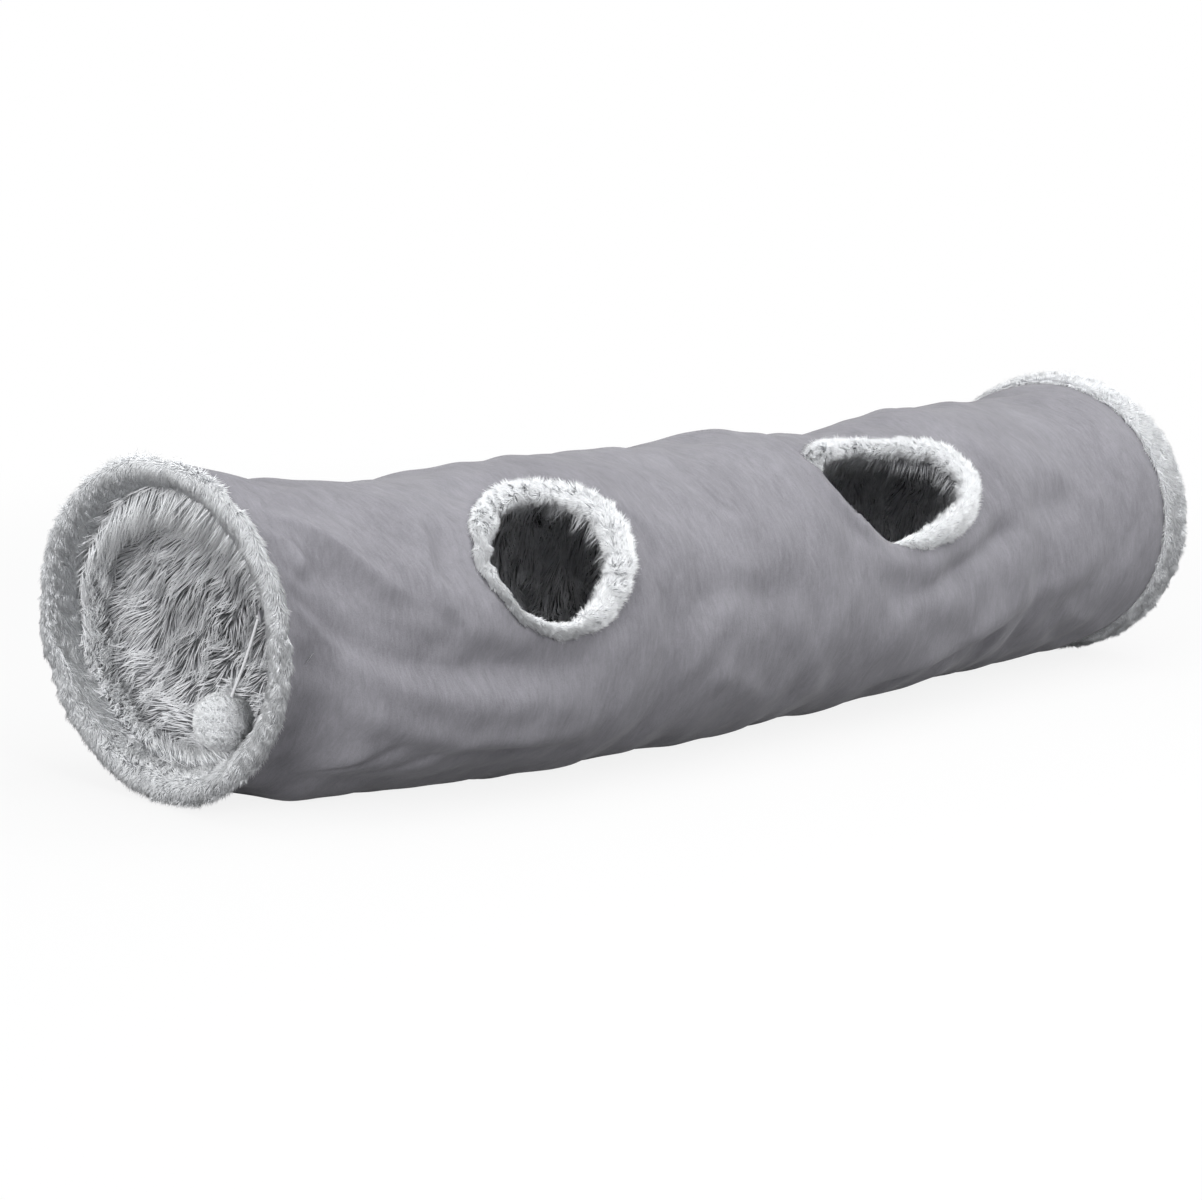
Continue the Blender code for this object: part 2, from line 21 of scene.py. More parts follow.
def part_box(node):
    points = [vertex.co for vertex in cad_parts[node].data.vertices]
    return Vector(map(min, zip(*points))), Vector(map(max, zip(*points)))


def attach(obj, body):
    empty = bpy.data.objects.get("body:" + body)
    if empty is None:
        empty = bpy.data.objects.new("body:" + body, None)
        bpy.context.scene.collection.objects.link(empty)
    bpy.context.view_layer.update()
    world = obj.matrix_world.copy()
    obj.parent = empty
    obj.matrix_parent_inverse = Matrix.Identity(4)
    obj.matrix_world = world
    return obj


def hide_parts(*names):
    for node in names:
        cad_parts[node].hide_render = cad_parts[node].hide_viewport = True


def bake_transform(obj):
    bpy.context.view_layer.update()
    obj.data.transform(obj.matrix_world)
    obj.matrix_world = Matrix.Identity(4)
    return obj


LOG = logging.getLogger("cat_tunnel")
TURN = 2 * math.pi
DOWN = np.array([0.0, 0.0, -1.0])
Array = np.ndarray
Colour = tuple[float, float, float]

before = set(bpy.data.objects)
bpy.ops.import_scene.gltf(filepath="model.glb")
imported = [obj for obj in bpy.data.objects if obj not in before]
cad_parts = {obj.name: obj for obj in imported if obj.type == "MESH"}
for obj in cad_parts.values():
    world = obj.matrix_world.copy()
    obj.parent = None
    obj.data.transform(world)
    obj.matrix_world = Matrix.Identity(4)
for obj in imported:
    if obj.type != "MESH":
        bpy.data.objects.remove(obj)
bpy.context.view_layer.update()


def eased(value: Array, low: float, high: float) -> Array:
    """Give 0 below low, 1 above high and a smooth value between.

    Args:
        value: Numbers to ease.
        low: Where the result leaves 0.
        high: Where the result reaches 1.

    Returns:
        The eased numbers.
    """
    share = np.clip((value - low) / (high - low), 0, 1)
    return share * share * (3 - 2 * share)


def unit(vectors: Array) -> Array:
    """Scale vectors along the last axis to length 1."""
    return vectors / np.maximum(np.linalg.norm(vectors, axis=-1, keepdims=True), 1e-12)


def wander(points: Array, size: float, seed: int, waves: int = 7) -> Array:
    """Give a smooth vector field that changes over about one size.

    Args:
        points: Places, one per row.
        size: Usual distance between two bumps of the field.
        seed: Seed of the field.
        waves: How many waves are added.

    Returns:
        One vector of about length 1 for each place.
    """
    rng = np.random.default_rng(seed)
    runs = unit(rng.normal(size=(waves, 3))) * (TURN / size) * rng.uniform(0.6, 1.5, (waves, 1))
    phases = rng.uniform(0, TURN, waves)
    pulls = unit(rng.normal(size=(waves, 3)))
    return np.sin(points @ runs.T + phases) @ pulls * math.sqrt(2 / waves)


class Body(Enum):
    """Moving bodies of the tunnel."""

    NEAR_MOUTH = "near_mouth"
    HOOP_1 = "hoop_1"
    HOOP_2 = "hoop_2"
    HOOP_3 = "hoop_3"
    FAR_MOUTH = "far_mouth"
    CORD_KNOT = "cord_knot"
    POMPOM = "pompom"


HOOPS = (Body.NEAR_MOUTH, Body.HOOP_1, Body.HOOP_2, Body.HOOP_3, Body.FAR_MOUTH)


class Slot(Enum):
    """Material slots of the record."""

    SUEDE = "suede_cloth"
    LINING = "long_plush"
    TRIM = "trim_plush"
    TAPE = "casing_tape"
    CORD = "cord_yarn"
    POMPOM = "pompom_fur"
    STEEL = "spring_steel"


@dataclass(frozen=True)
class Crease:
    """A narrow fold of the cloth.

    Attributes:
        height: How far it stands out, or in where it is below zero.
        width: Half its width.
        path: Its line, as stations in metres and angles in degrees.
    """

    height: float
    width: float
    path: tuple[tuple[float, float], ...]

    def rise(self, station: Array, angle: Array, radius: float) -> Array:
        """How far the cloth stands out at places on a tube of one radius.

        Args:
            station: Stations of the places.
            angle: Their angles in radians.
            radius: Radius of the tube.

        Returns:
            The height of the crease at each place.
        """
        across = np.remainder(angle, TURN) * radius
        points = [Vector((s, math.radians(a) * radius)) for s, a in self.path]
        total = sum((b - a).length for a, b in zip(points, points[1:]))
        nearest = np.full(np.shape(across), np.inf)
        place = np.zeros(np.shape(across))
        begun = 0.0
        for start, end in zip(points, points[1:]):
            run = end - start
            share = ((station - start.x) * run.x + (across - start.y) * run.y) / run.length_squared
            share = np.clip(share, 0, 1)
            away = np.hypot(station - start.x - share * run.x, across - start.y - share * run.y)
            place = np.where(away < nearest, (begun + share * run.length) / total, place)
            nearest = np.minimum(nearest, away)
            begun += run.length
        taper = eased(place, 0, 0.3) * eased(1 - place, 0, 0.3)
        return self.height * taper * np.exp(-((nearest / self.width) ** 2))


@dataclass(frozen=True)
class Window:
    """An oval window in the side of the tube.

    Attributes:
        name: Name of the CAD node of its trim, without its ending.
        bay: Index of the bay that it is cut in.
        station: Station of its middle.
        angle: Angle of its middle, in radians.
        length: Length of the cut along the tube.
        height: Height of the cut round the tube.
        tuck: How far the trim sinks behind the fold at its end towards the near mouth.
    """

    name: str
    bay: int
    station: float
    angle: float
    length: float
    height: float
    tuck: float = 0.0


@dataclass(frozen=True)
class Tube:
    """The path, the section and the folds of the cloth tube.

    Attributes:
        radius: Outer radius of the shell.
        bays: Lengths of the bays, from hoop to hoop.
        sags: How much lower than a hoop the cloth's top lies in the middle of each bay.
        trim_radius: Outer radius of the trims.
        roll_depth: Length of tube that the near trim keeps square.
        band_width: Length of tube that the far trim keeps square.
        casing_hold: Length of tube that a casing keeps square, each way.
        ring_yaw: How far all hoops are turned about a plumb line.
        bow_reach: How far the free tube bows to the near side.
        bow_shares: Shares of that reach, at even steps from mouth to mouth.
        mouth_settle: Length over which the tube comes free of a mouth.
        hoop_settle: Length over which it comes free of a middle hoop.
        facets: Facets round the CAD model's tube.
        fold_width: Half the width of a main fold.
        fold_run_in: Length over which a main fold rises.
        window_fold_share: Share of a main fold that is left at a window.
        folds: Main folds, as a height and a path of shares of the length and degrees.
        windows: The windows.
        creases: The narrow folds, which the CAD model leaves out.
        ridges: Stations and heights of the ridges across the top.
        ridge_width: Half the width of a ridge.
        rim_trough: Depth of the trough round a window.
        rim_trough_place: How far outside the cut the trough lies.
        rim_trough_width: Half its width.
        gather: Height of the gathers behind the seams of the mouths.
        gather_place: How far from a mouth they stand highest.
        gather_width: Half the length of a gather.
        crumple: Height of the shallow crumples, for one wave in a metre.
        crumples: How many waves make up the crumples.
        crumple_seed: Seed of those waves.
        casing_clear: How far from a hoop hollows begin, and where they have their full depth.
        near_clear: How far from the near mouth fine folds begin, and where they are full.
        far_clear: The same from the far mouth.
        lining_slack: How deep a fine fold has to be before it reaches the lining.
        axis_step: Distance between the places that a window's axes are read from.
    """

    radius: float = 0.142
    bays: tuple[float, ...] = (0.342, 0.240, 0.298, 0.246)
    sags: tuple[float, ...] = (0.010, 0.002, 0.014, 0.003)
    trim_radius: float = 0.153
    roll_depth: float = 0.010
    band_width: float = 0.0383
    casing_hold: float = 0.0063
    ring_yaw: float = math.radians(14.2)
    bow_reach: float = 0.069
    bow_shares: tuple[float, ...] = (0.0, 0.60, 0.93, 1.0, 0.98, 0.86, 0.67, 0.43, 0.20, 0.06, 0.0)
    mouth_settle: float = 0.075
    hoop_settle: float = 0.035
    facets: int = 32
    fold_width: float = 0.026
    fold_run_in: float = 0.045
    window_fold_share: float = 0.25
    folds: tuple[tuple[float, tuple[tuple[float, float], ...]], ...] = (
        (0.006, ((0.03, 128), (0.07, 140), (0.12, 153), (0.18, 165), (0.23, 171))),
        (-0.013, ((0.02, 142), (0.08, 163), (0.12, 170), (0.20, 178), (0.27, 184))),
        (0.005, ((0.02, 172), (0.09, 186), (0.18, 202), (0.28, 209))),
        (-0.008, ((0.04, 191), (0.10, 206), (0.17, 218), (0.24, 226))),
        (-0.005, ((0.32, 160), (0.40, 172), (0.49, 170))),
        (-0.009, ((0.55, 178), (0.67, 174), (0.75, 166), (0.83, 158), (0.89, 152))),
        (0.004, ((0.57, 232), (0.69, 206), (0.83, 190), (0.91, 182))),
    )
    windows: tuple[Window, ...] = (
        Window("near_window", 0, 0.256, math.radians(141.5), 0.148, 0.146),
        Window("far_window", 2, 0.709, math.radians(129.8), 0.226, 0.132, 0.013),
    )
    creases: tuple[Crease, ...] = (
        Crease(0.0078, 0.0080, ((0.018, 125), (0.048, 132), (0.068, 140), (0.088, 151), (0.120, 159))),
        Crease(0.0060, 0.0130, ((0.040, 152), (0.090, 161), (0.135, 167), (0.225, 174))),
        Crease(-0.0140, 0.0165, ((0.020, 159), (0.048, 170), (0.082, 177), (0.124, 182), (0.260, 188))),
        Crease(0.0120, 0.0160, ((0.012, 182), (0.060, 195), (0.102, 203), (0.156, 211), (0.310, 216))),
        Crease(-0.0090, 0.0300, ((0.010, 222), (0.052, 230), (0.085, 236), (0.160, 240), (0.300, 242))),
        Crease(0.0042, 0.0065, ((0.012, 136), (0.028, 140), (0.036, 147), (0.024, 154))),
        Crease(0.0044, 0.0060, ((0.012, 160), (0.030, 168), (0.056, 178))),
        Crease(-0.0040, 0.0065, ((0.012, 146), (0.026, 152), (0.046, 157))),
        Crease(0.0024, 0.0080, ((0.014, 104), (0.050, 110), (0.100, 113))),
        Crease(-0.0024, 0.0080, ((0.014, 112), (0.052, 119), (0.086, 125))),
        Crease(-0.0030, 0.0060, ((0.060, 232), (0.096, 218), (0.118, 208))),
        Crease(-0.0026, 0.0060, ((0.100, 236), (0.132, 222), (0.160, 214))),
        Crease(0.0044, 0.0070, ((0.154, 116), (0.146, 130), (0.132, 144), (0.129, 156), (0.170, 171))),
        Crease(-0.0040, 0.0080, ((0.167, 118), (0.159, 132), (0.146, 146), (0.148, 158))),
        Crease(-0.0026, 0.0140, ((0.330, 190), (0.390, 170), (0.450, 166), (0.520, 176))),
        Crease(0.0022, 0.0160, ((0.400, 120), (0.450, 140), (0.500, 146))),
        Crease(0.0018, 0.0100, ((0.400, 196), (0.460, 204), (0.530, 222))),
        Crease(0.0060, 0.0280, ((0.562, 84), (0.552, 109), (0.558, 126), (0.568, 143), (0.640, 164))),
        Crease(0.0095, 0.0120, ((0.604, 88), (0.598, 106), (0.592, 123), (0.598, 138), (0.654, 162))),
        Crease(-0.0075, 0.0115, ((0.622, 98), (0.613, 122), (0.618, 137), (0.640, 149), (0.680, 160))),
        Crease(-0.0042, 0.0110, ((0.640, 186), (0.751, 174), (0.836, 166), (0.906, 158), (0.950, 150))),
        Crease(0.0040, 0.0160, ((0.661, 230), (0.779, 208), (0.900, 194), (1.002, 185))),
        Crease(-0.0062, 0.0200, ((0.610, 242), (0.700, 230), (0.800, 219), (0.930, 210))),
        Crease(-0.0030, 0.0120, ((0.770, 84), (0.810, 98), (0.846, 116), (0.852, 134))),
        Crease(0.0022, 0.0100, ((0.930, 196), (0.985, 210), (1.040, 218))),
        Crease(-0.0022, 0.0100, ((0.940, 210), (0.990, 224), (1.050, 232))),
    )
    ridges: tuple[tuple[float, float], ...] = ((0.340, 0.0038), (0.570, 0.0050))
    ridge_width: float = 0.024
    rim_trough: float = 0.0028
    rim_trough_place: float = 0.014
    rim_trough_width: float = 0.011
    gather: float = 0.0018
    gather_place: float = 0.022
    gather_width: float = 0.020
    crumple: float = 0.0044
    crumples: int = 34
    crumple_seed: int = 11
    casing_clear: tuple[float, float] = (0.008, 0.022)
    near_clear: tuple[float, float] = (0.008, 0.024)
    far_clear: tuple[float, float] = (0.040, 0.060)
    lining_slack: float = 0.0045
    axis_step: float = 0.0023

    @property
    def length(self) -> float:
        """Length of the chord between the two mouths."""
        return sum(self.bays)

    @property
    def flat(self) -> float:
        """How far the middle of a facet lies inside the circle, as a share."""
        return math.cos(math.pi / self.facets)

    @property
    def along(self) -> Array:
        """Normal of the planes of all hoops."""
        return np.array([math.cos(self.ring_yaw), math.sin(self.ring_yaw), 0.0])

    @property
    def across(self) -> Array:
        """Level direction in the planes of the hoops, towards the far side."""
        return np.array([-math.sin(self.ring_yaw), math.cos(self.ring_yaw), 0.0])

    @property
    def origin(self) -> Array:
        """Place of station 0 on the floor, read from the wire of the near mouth."""
        low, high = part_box("near_mouth_wire")
        return np.array([(low.x + high.x) / 2, (low.y + high.y) / 2, 0.0])

    def hoop_station(self, index: int) -> float:
        """Station of a hoop; the first and the last are the mouths."""
        return sum(self.bays[:index])

    def hoop_centre(self, index: int) -> Array:
        """Middle of a hoop."""
        return self.centre(np.array(self.hoop_station(index)))

    def _held_length(self, index: int) -> float:
        """Length of tube that a hoop keeps square, each way."""
        if index == 0:
            return self.roll_depth
        return self.band_width if index == len(self.bays) else self.casing_hold

    def _held(self, station: Array, index: int) -> Array:
        """Tell how far a hoop keeps the tube square.

        Args:
            station: Stations.
            index: Which hoop.

        Returns:
            1 where the tube is square to the hoop, falling to 0 where it lies free.
        """
        low = self._held_length(index)
        settle = self.mouth_settle if index in (0, len(self.bays)) else self.hoop_settle
        return 1 - eased(np.abs(station - self.hoop_station(index)), low, low + settle)

    def _bow(self, station: Array) -> Array:
        """Sideways place of the free tube, on a smooth curve through the shares.

        Args:
            station: Stations.

        Returns:
            How far to the far side of the chord the tube lies at each.
        """
        stations = np.linspace(0, 1, len(self.bow_shares))
        offsets = np.array(self.bow_shares)
        slopes = np.gradient(offsets, stations)
        at = np.asarray(station) / self.length
        k = np.clip(np.searchsorted(stations, at) - 1, 0, len(stations) - 2)
        span = stations[k + 1] - stations[k]
        t = (at - stations[k]) / span
        curve = (2 * t**3 - 3 * t**2 + 1) * offsets[k] + (t**3 - 2 * t**2 + t) * span * slopes[k]
        curve += (3 * t**2 - 2 * t**3) * offsets[k + 1] + (t**3 - t**2) * span * slopes[k + 1]
        return -self.bow_reach * curve

    def centre(self, station: Array) -> Array:
        """Middle of the section at each station.

        Args:
            station: Stations.

        Returns:
            One point for each station.
        """
        free = self._bow(station)
        side = free.copy() if np.ndim(free) else free
        for index in range(len(self.bays) + 1):
            ring = self.hoop_station(index)
            square = self._bow(np.array(ring)) + (station - ring) * math.tan(self.ring_yaw)
            side = side + self._held(station, index) * (square - free)
        lift = (self.trim_radius - self.radius) * (
            self._held(station, 0) + self._held(station, len(self.bays))
        )
        height = (self.radius - self._sag(station) / 2 + lift) * self.flat
        return np.stack([station, side, height], axis=-1) + self.origin

    def _free_span(self, station: Array) -> tuple[Array, Array]:
        """Find the free part of the bay that holds each station.

        Args:
            station: Stations.

        Returns:
            Stations where that part starts, and where it ends.
        """
        inner = [self.hoop_station(index) for index in range(1, len(self.bays))]
        bay = np.sum([np.asarray(station) > hoop for hoop in inner], axis=0)
        starts = [self.hoop_station(k) + self._held_length(k) for k in range(len(self.bays))]
        ends = [self.hoop_station(k + 1) - self._held_length(k + 1) for k in range(len(self.bays))]
        return np.array(starts)[bay], np.array(ends)[bay]

    def _sag(self, station: Array) -> Array:
        """How much lower than a hoop the cloth's top lies.

        Args:
            station: Stations.

        Returns:
            The sag at each.
        """
        inner = [self.hoop_station(index) for index in range(1, len(self.bays))]
        bay = np.sum([np.asarray(station) > hoop for hoop in inner], axis=0)
        start, end = self._free_span(station)
        share = np.clip((station - start) / (end - start), 0, 1)
        return np.array(self.sags)[bay] * np.sin(math.pi * share) ** 2

    def _window_reach(self, station: Array, angle: Array, window: Window) -> tuple[Array, Array]:
        """Measure places from the middle of a window.

        Args:
            station: Stations of the places.
            angle: Their angles.
            window: The window.

        Returns:
            Distances along the tube, and distances round it.
        """
        round_it = np.remainder(angle - window.angle + math.pi, TURN) - math.pi
        return station - window.station, round_it * self.radius

    def _main_folds(self, station: Array, angle: Array) -> Array:
        """Heights of the folds that the CAD solids have too.

        Args:
            station: Stations of the places.
            angle: Their angles.

        Returns:
            How far the cloth stands out there.
        """
        start, end = self._free_span(station)
        hold = eased(station, start, start + self.fold_run_in)
        hold = hold * eased(end - station, 0, self.fold_run_in)
        for window in self.windows:
            along, round_it = self._window_reach(station, angle, window)
            away = np.hypot(
                along / (window.length / 2 + self.fold_width / 2),
                round_it / (window.height / 2 + self.fold_width / 2),
            )
            left = self.window_fold_share
            hold = hold * (left + (1 - left) * eased(away, 1 - left, 1.5))
        total = np.zeros(np.broadcast(station, angle).shape)
        for height, path in self.folds:
            stations = np.array([share for share, _ in path]) * self.length
            middle = np.radians(np.interp(station, stations, [turn for _, turn in path]))
            away = np.remainder(angle - middle + math.pi, TURN) - math.pi
            away = away * self.radius / self.fold_width
            run = eased(station, stations[0], stations[0] + self.fold_run_in)
            run = run * eased(stations[-1] - station, 0, self.fold_run_in)
            total = total + height * run * np.exp(-away * away)
        return total * hold

    def _fine_folds(self, station: Array, angle: Array) -> Array:
        """Heights of the creases, ridges, gathers and crumples of the real cloth.

        Args:
            station: Stations of the places.
            angle: Their angles.

        Returns:
            How far the cloth stands out there.
        """
        total = np.zeros(np.broadcast(station, angle).shape)
        for crease in self.creases:
            total = total + crease.rise(station, angle, self.radius)
        for ridge, height in self.ridges:
            away = (station - ridge) / self.ridge_width
            total = total + height * np.exp(-away * away) * eased(np.sin(angle), 0.2, 0.95)
        for window in self.windows:
            along, round_it = self._window_reach(station, angle, window)
            away = np.hypot(along / (window.length / 2), round_it / (window.height / 2))
            out = (away - 1) * window.height / 2
            out = (out - self.rim_trough_place) / self.rim_trough_width
            total = total - self.rim_trough * np.exp(-(out**2))
        for end in (0.0, self.length):
            away = (np.abs(station - end) - self.gather_place) / self.gather_width
            near_end = np.exp(-(away**2))
            beat = np.sin(13 * angle + 1.3 * np.sin(4 * angle)) + 0.6 * np.sin(21 * angle + 2.0)
            total = total + self.gather * near_end * beat
        rng = np.random.default_rng(self.crumple_seed)
        for _ in range(self.crumples):
            around, phase = int(rng.integers(-16, 17)), rng.uniform(0, TURN)
            along = rng.uniform(4, 26) * TURN
            size = math.hypot(around / self.radius, along) / TURN
            total = total + self.crumple / size * np.sin(around * angle + along * station + phase)
        for index in range(1, len(self.bays)):
            clear = eased(np.abs(station - self.hoop_station(index)), *self.casing_clear)
            total = np.where(total < 0, total * clear, total)
        free = eased(station, *self.near_clear) * eased(self.length - station, *self.far_clear)
        return total * free

    def point(self, station: Array, angle: Array, depth: float, fine: bool = True) -> Array:
        """Places on the tube, some way below its outer face and never under the floor.

        Args:
            station: Stations of the places.
            angle: Their angles.
            depth: How far below the outer face they lie.
            fine: Whether the narrow creases count in full, or only where they would reach
                this layer.

        Returns:
            One point for each place.
        """
        creased = self._fine_folds(station, angle)
        if not fine:
            creased = np.minimum(creased + self.lining_slack, 0)
        out = self._main_folds(station, angle) - depth + creased
        place = self.smooth_point(station, angle, out)
        place[..., 2] = np.maximum(place[..., 2], depth * self.flat)
        return place

    def smooth_point(self, station: Array, angle: Array, out: Array) -> Array:
        """Places on the tube without its folds.

        Args:
            station: Stations of the places.
            angle: Their angles.
            out: How far out from the outer face they lie.

        Returns:
            One point for each place.
        """
        sag = self._sag(station)
        wide = (self.radius + sag / 2 + out) * np.cos(angle)
        tall = (self.radius - sag / 2 + out) * np.sin(angle)
        return self.centre(station) + wide[..., None] * self.across - tall[..., None] * DOWN

    def ring_point(self, index: int, along: Array, radius: Array, angle: Array) -> Array:
        """Places on a ring about a hoop's middle.

        Args:
            index: Which hoop.
            along: Distances along the hoop's axis.
            radius: Distances from the axis.
            angle: Angles round the axis.

        Returns:
            One point for each place.
        """
        along, radius, angle = np.broadcast_arrays(along, radius, angle)
        place = self.hoop_centre(index) + along[..., None] * self.along
        place = place + (radius * np.cos(angle))[..., None] * self.across
        return place - (radius * np.sin(angle))[..., None] * DOWN

    def window_axes(self, window: Window) -> tuple[Vector, Vector, Vector, Vector]:
        """Find how a window lies on the tube.

        Args:
            window: The window.

        Returns:
            Its middle, and the directions along it, up it and out of it.
        """
        step, turn = self.axis_step, self.axis_step / self.radius
        stations = np.array([0, step, -step, 0, 0]) + window.station
        angles = np.array([0, 0, 0, turn, -turn]) + window.angle
        middle, ahead, behind, above, below = self.smooth_point(stations, angles, np.zeros(5))
        out = unit(np.cross(ahead - behind, above - below))
        if out @ (middle - self.centre(np.array(window.station))) < 0:
            out = -out
        long_axis = unit(np.array([1.0, 0.0, 0.0]) - out * out[0])
        return Vector(middle), Vector(long_axis), Vector(np.cross(out, long_axis)), Vector(out)

    def fold_with_bay(self, piece: bpy.types.Object, bay: int) -> None:
        """Bake the placement of a piece of cloth into its mesh.

        Args:
            piece: The piece.
            bay: Which bay.
        """
        start, far = self.hoop_centre(bay), self.hoop_centre(bay + 1)
        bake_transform(piece)


def add_node(tree: bpy.types.NodeTree, kind: str, values: dict | None = None, **settings) -> bpy.types.Node:
    """Add a node to a tree.

    Args:
        tree: The tree.
        kind: Blender's name of the node type.
        values: Values of its inputs, by name or place.
        **settings: Attributes of the node.

    Returns:
        The node.
    """
    made = tree.nodes.new(kind)
    for name, value in settings.items():
        setattr(made, name, value)
    for key, value in (values or {}).items():
        made.inputs[key].default_value = value
    return made


def ramp(
    tree: bpy.types.NodeTree, value: bpy.types.NodeSocket, low: float, high: float
) -> bpy.types.NodeSocket:
    """Stretch a value from low to high over 0 to 1.

    Args:
        tree: The tree.
        value: Output socket of the value.
        low: Value that gives 0.
        high: Value that gives 1.

    Returns:
        Output socket of the stretched value.
    """
    stretch = add_node(tree, "ShaderNodeMapRange", {"From Min": low, "From Max": high})
    tree.links.new(value, stretch.inputs["Value"])
    return stretch.outputs[0]


def noise(tree: bpy.types.NodeTree, place: bpy.types.NodeSocket, values: dict) -> bpy.types.Node:
    """Add a noise.

    Args:
        tree: The tree.
        place: Output socket of the place that it reads.
        values: Values of its inputs, by name.

    Returns:
        The node.
    """
    made = add_node(tree, "ShaderNodeTexNoise", values)
    tree.links.new(place, made.inputs["Vector"])
    return made


def mixed_colour(
    tree: bpy.types.NodeTree, factor: bpy.types.NodeSocket, low: Colour, high: Colour
) -> bpy.types.NodeSocket:
    """Mix two colours.

    Args:
        tree: The tree.
        factor: Output socket of the factor.
        low: Colour where the factor is 0.
        high: Colour where it is 1.

    Returns:
        Output socket of the mixed colour.
    """
    mix = add_node(tree, "ShaderNodeMix", {"A": (*low, 1), "B": (*high, 1)}, data_type="RGBA")
    tree.links.new(factor, mix.inputs["Factor"])
    return mix.outputs["Result"]


def new_group(name: str, inputs: dict[str, str], outputs: dict[str, str]) -> tuple:
    """Start a node group.

    Args:
        name: Its name.
        inputs: Socket types of its inputs, by name.
        outputs: Socket types of its outputs, by name.

    Returns:
        The group, its input node and its output node.
    """
    group = bpy.data.node_groups.new(name, "ShaderNodeTree")
    for label, kind in inputs.items():
        group.interface.new_socket(name=label, in_out="INPUT", socket_type=kind)
    for label, kind in outputs.items():
        group.interface.new_socket(name=label, in_out="OUTPUT", socket_type=kind)
    return group, group.nodes.new("NodeGroupInput"), group.nodes.new("NodeGroupOutput")


def pile_tone_group() -> bpy.types.NodeTree:
    """Colour of a tuft: darker at its root as painted shade deep in the pile, and a little different from
    tuft to tuft.

    Returns:
        The node group.
    """
    group, given, result = new_group(
        "pile_tone",
        {
            "Tuft UV": "NodeSocketVector",
            "Place": "NodeSocketVector",
            "Shaded Root": "NodeSocketColor",
            "Tip": "NodeSocketColor",
            "Unevenness": "NodeSocketFloat",
        },
        {"Color": "NodeSocketColor"},
    )
    link = group.links.new
    split = add_node(group, "ShaderNodeSeparateXYZ")
    link(given.outputs["Tuft UV"], split.inputs[0])
    # Painted shade: each tuft runs from a darker root colour to its tip colour, for the shade deep in the
    # pile.
    colour = add_node(group, "ShaderNodeMix", data_type="RGBA")
    link(ramp(group, split.outputs["Y"], 0.0, 0.75), colour.inputs["Factor"])
    link(given.outputs["Shaded Root"], colour.inputs["A"])
    link(given.outputs["Tip"], colour.inputs["B"])
    patches = noise(group, given.outputs["Place"], {"Scale": 55.0, "Detail": 3.0})
    both = add_node(group, "ShaderNodeMath", operation="ADD")
    link(split.outputs["X"], both.inputs[0])
    link(patches.outputs[0], both.inputs[1])
    centred = add_node(group, "ShaderNodeMath", {1: 1.0}, operation="SUBTRACT")
    link(both.outputs[0], centred.inputs[0])
    shift = add_node(group, "ShaderNodeMath", {2: 1.0}, operation="MULTIPLY_ADD")
    link(centred.outputs[0], shift.inputs[0])
    link(given.outputs["Unevenness"], shift.inputs[1])
    toned = add_node(group, "ShaderNodeMix", {"Factor": 1.0}, data_type="RGBA", blend_type="MULTIPLY")
    link(colour.outputs["Result"], toned.inputs["A"])
    link(shift.outputs[0], toned.inputs["B"])
    link(toned.outputs["Result"], result.inputs["Color"])
    return group


def woven_grain_group() -> bpy.types.NodeTree:
    """Streaks, patches and fine grain of a brushed or woven cloth.

    Returns:
        The node group.
    """
    group, given, result = new_group(
        "woven_grain",
        {"Cloth UV": "NodeSocketVector", "Place": "NodeSocketVector", "Fineness": "NodeSocketFloat"},
        {"Tone": "NodeSocketFloat", "Height": "NodeSocketFloat"},
    )
    link = group.links.new
    long_streaks = add_node(group, "ShaderNodeMapping", {"Scale": (85.0, 420.0, 1.0)})
    link(given.outputs["Cloth UV"], long_streaks.inputs["Vector"])
    streak_values = {"Scale": 1.0, "Detail": 5.0, "Roughness": 0.62, "Distortion": 0.7}
    streaks = noise(group, long_streaks.outputs[0], streak_values)
    wide_streaks = add_node(group, "ShaderNodeMapping", {"Scale": (24.0, 66.0, 1.0)})
    link(given.outputs["Cloth UV"], wide_streaks.inputs["Vector"])
    bands = noise(group, wide_streaks.outputs[0], {"Scale": 1.0, "Detail": 4.0, "Distortion": 1.3})
    place = given.outputs["Place"]
    patches = noise(group, place, {"Scale": 13.0, "Detail": 5.0, "Roughness": 0.55})
    grain = noise(group, place, {"Detail": 2.0})
    link(given.outputs["Fineness"], grain.inputs["Scale"])
    tone = None
    for source, share in ((streaks, 0.30), (bands, 0.22), (patches, 0.28), (grain, 0.20)):
        part = add_node(group, "ShaderNodeMath", {1: share}, operation="MULTIPLY_ADD")
        link(source.outputs[0], part.inputs[0])
        if tone is None:
            part.inputs[2].default_value = 0.0
        else:
            link(tone.outputs[0], part.inputs[2])
        tone = part
    link(tone.outputs[0], result.inputs["Tone"])
    height = add_node(group, "ShaderNodeMath", {1: 0.45}, operation="MULTIPLY_ADD")
    link(streaks.outputs[0], height.inputs[0])
    link(grain.outputs[0], height.inputs[2])
    link(height.outputs[0], result.inputs["Height"])
    return group


class Effects:
    """Shader groups that more than one finish uses."""

    def __init__(self) -> None:
        """Build each group once."""
        self.pile_tone = pile_tone_group()
        self.woven_grain = woven_grain_group()


def new_material(name: str, values: dict) -> tuple:
    """Start a material.

    Args:
        name: Its name.
        values: Values of its shader's inputs, by name.

    Returns:
        The material, its node tree, its Principled shader and its coordinates.
    """
    made = bpy.data.materials.new(name)
    made.use_nodes = True
    tree = made.node_tree
    shader = tree.nodes["Principled BSDF"]
    for key, value in values.items():
        shader.inputs[key].default_value = value
    return made, tree, shader, add_node(tree, "ShaderNodeTexCoord").outputs


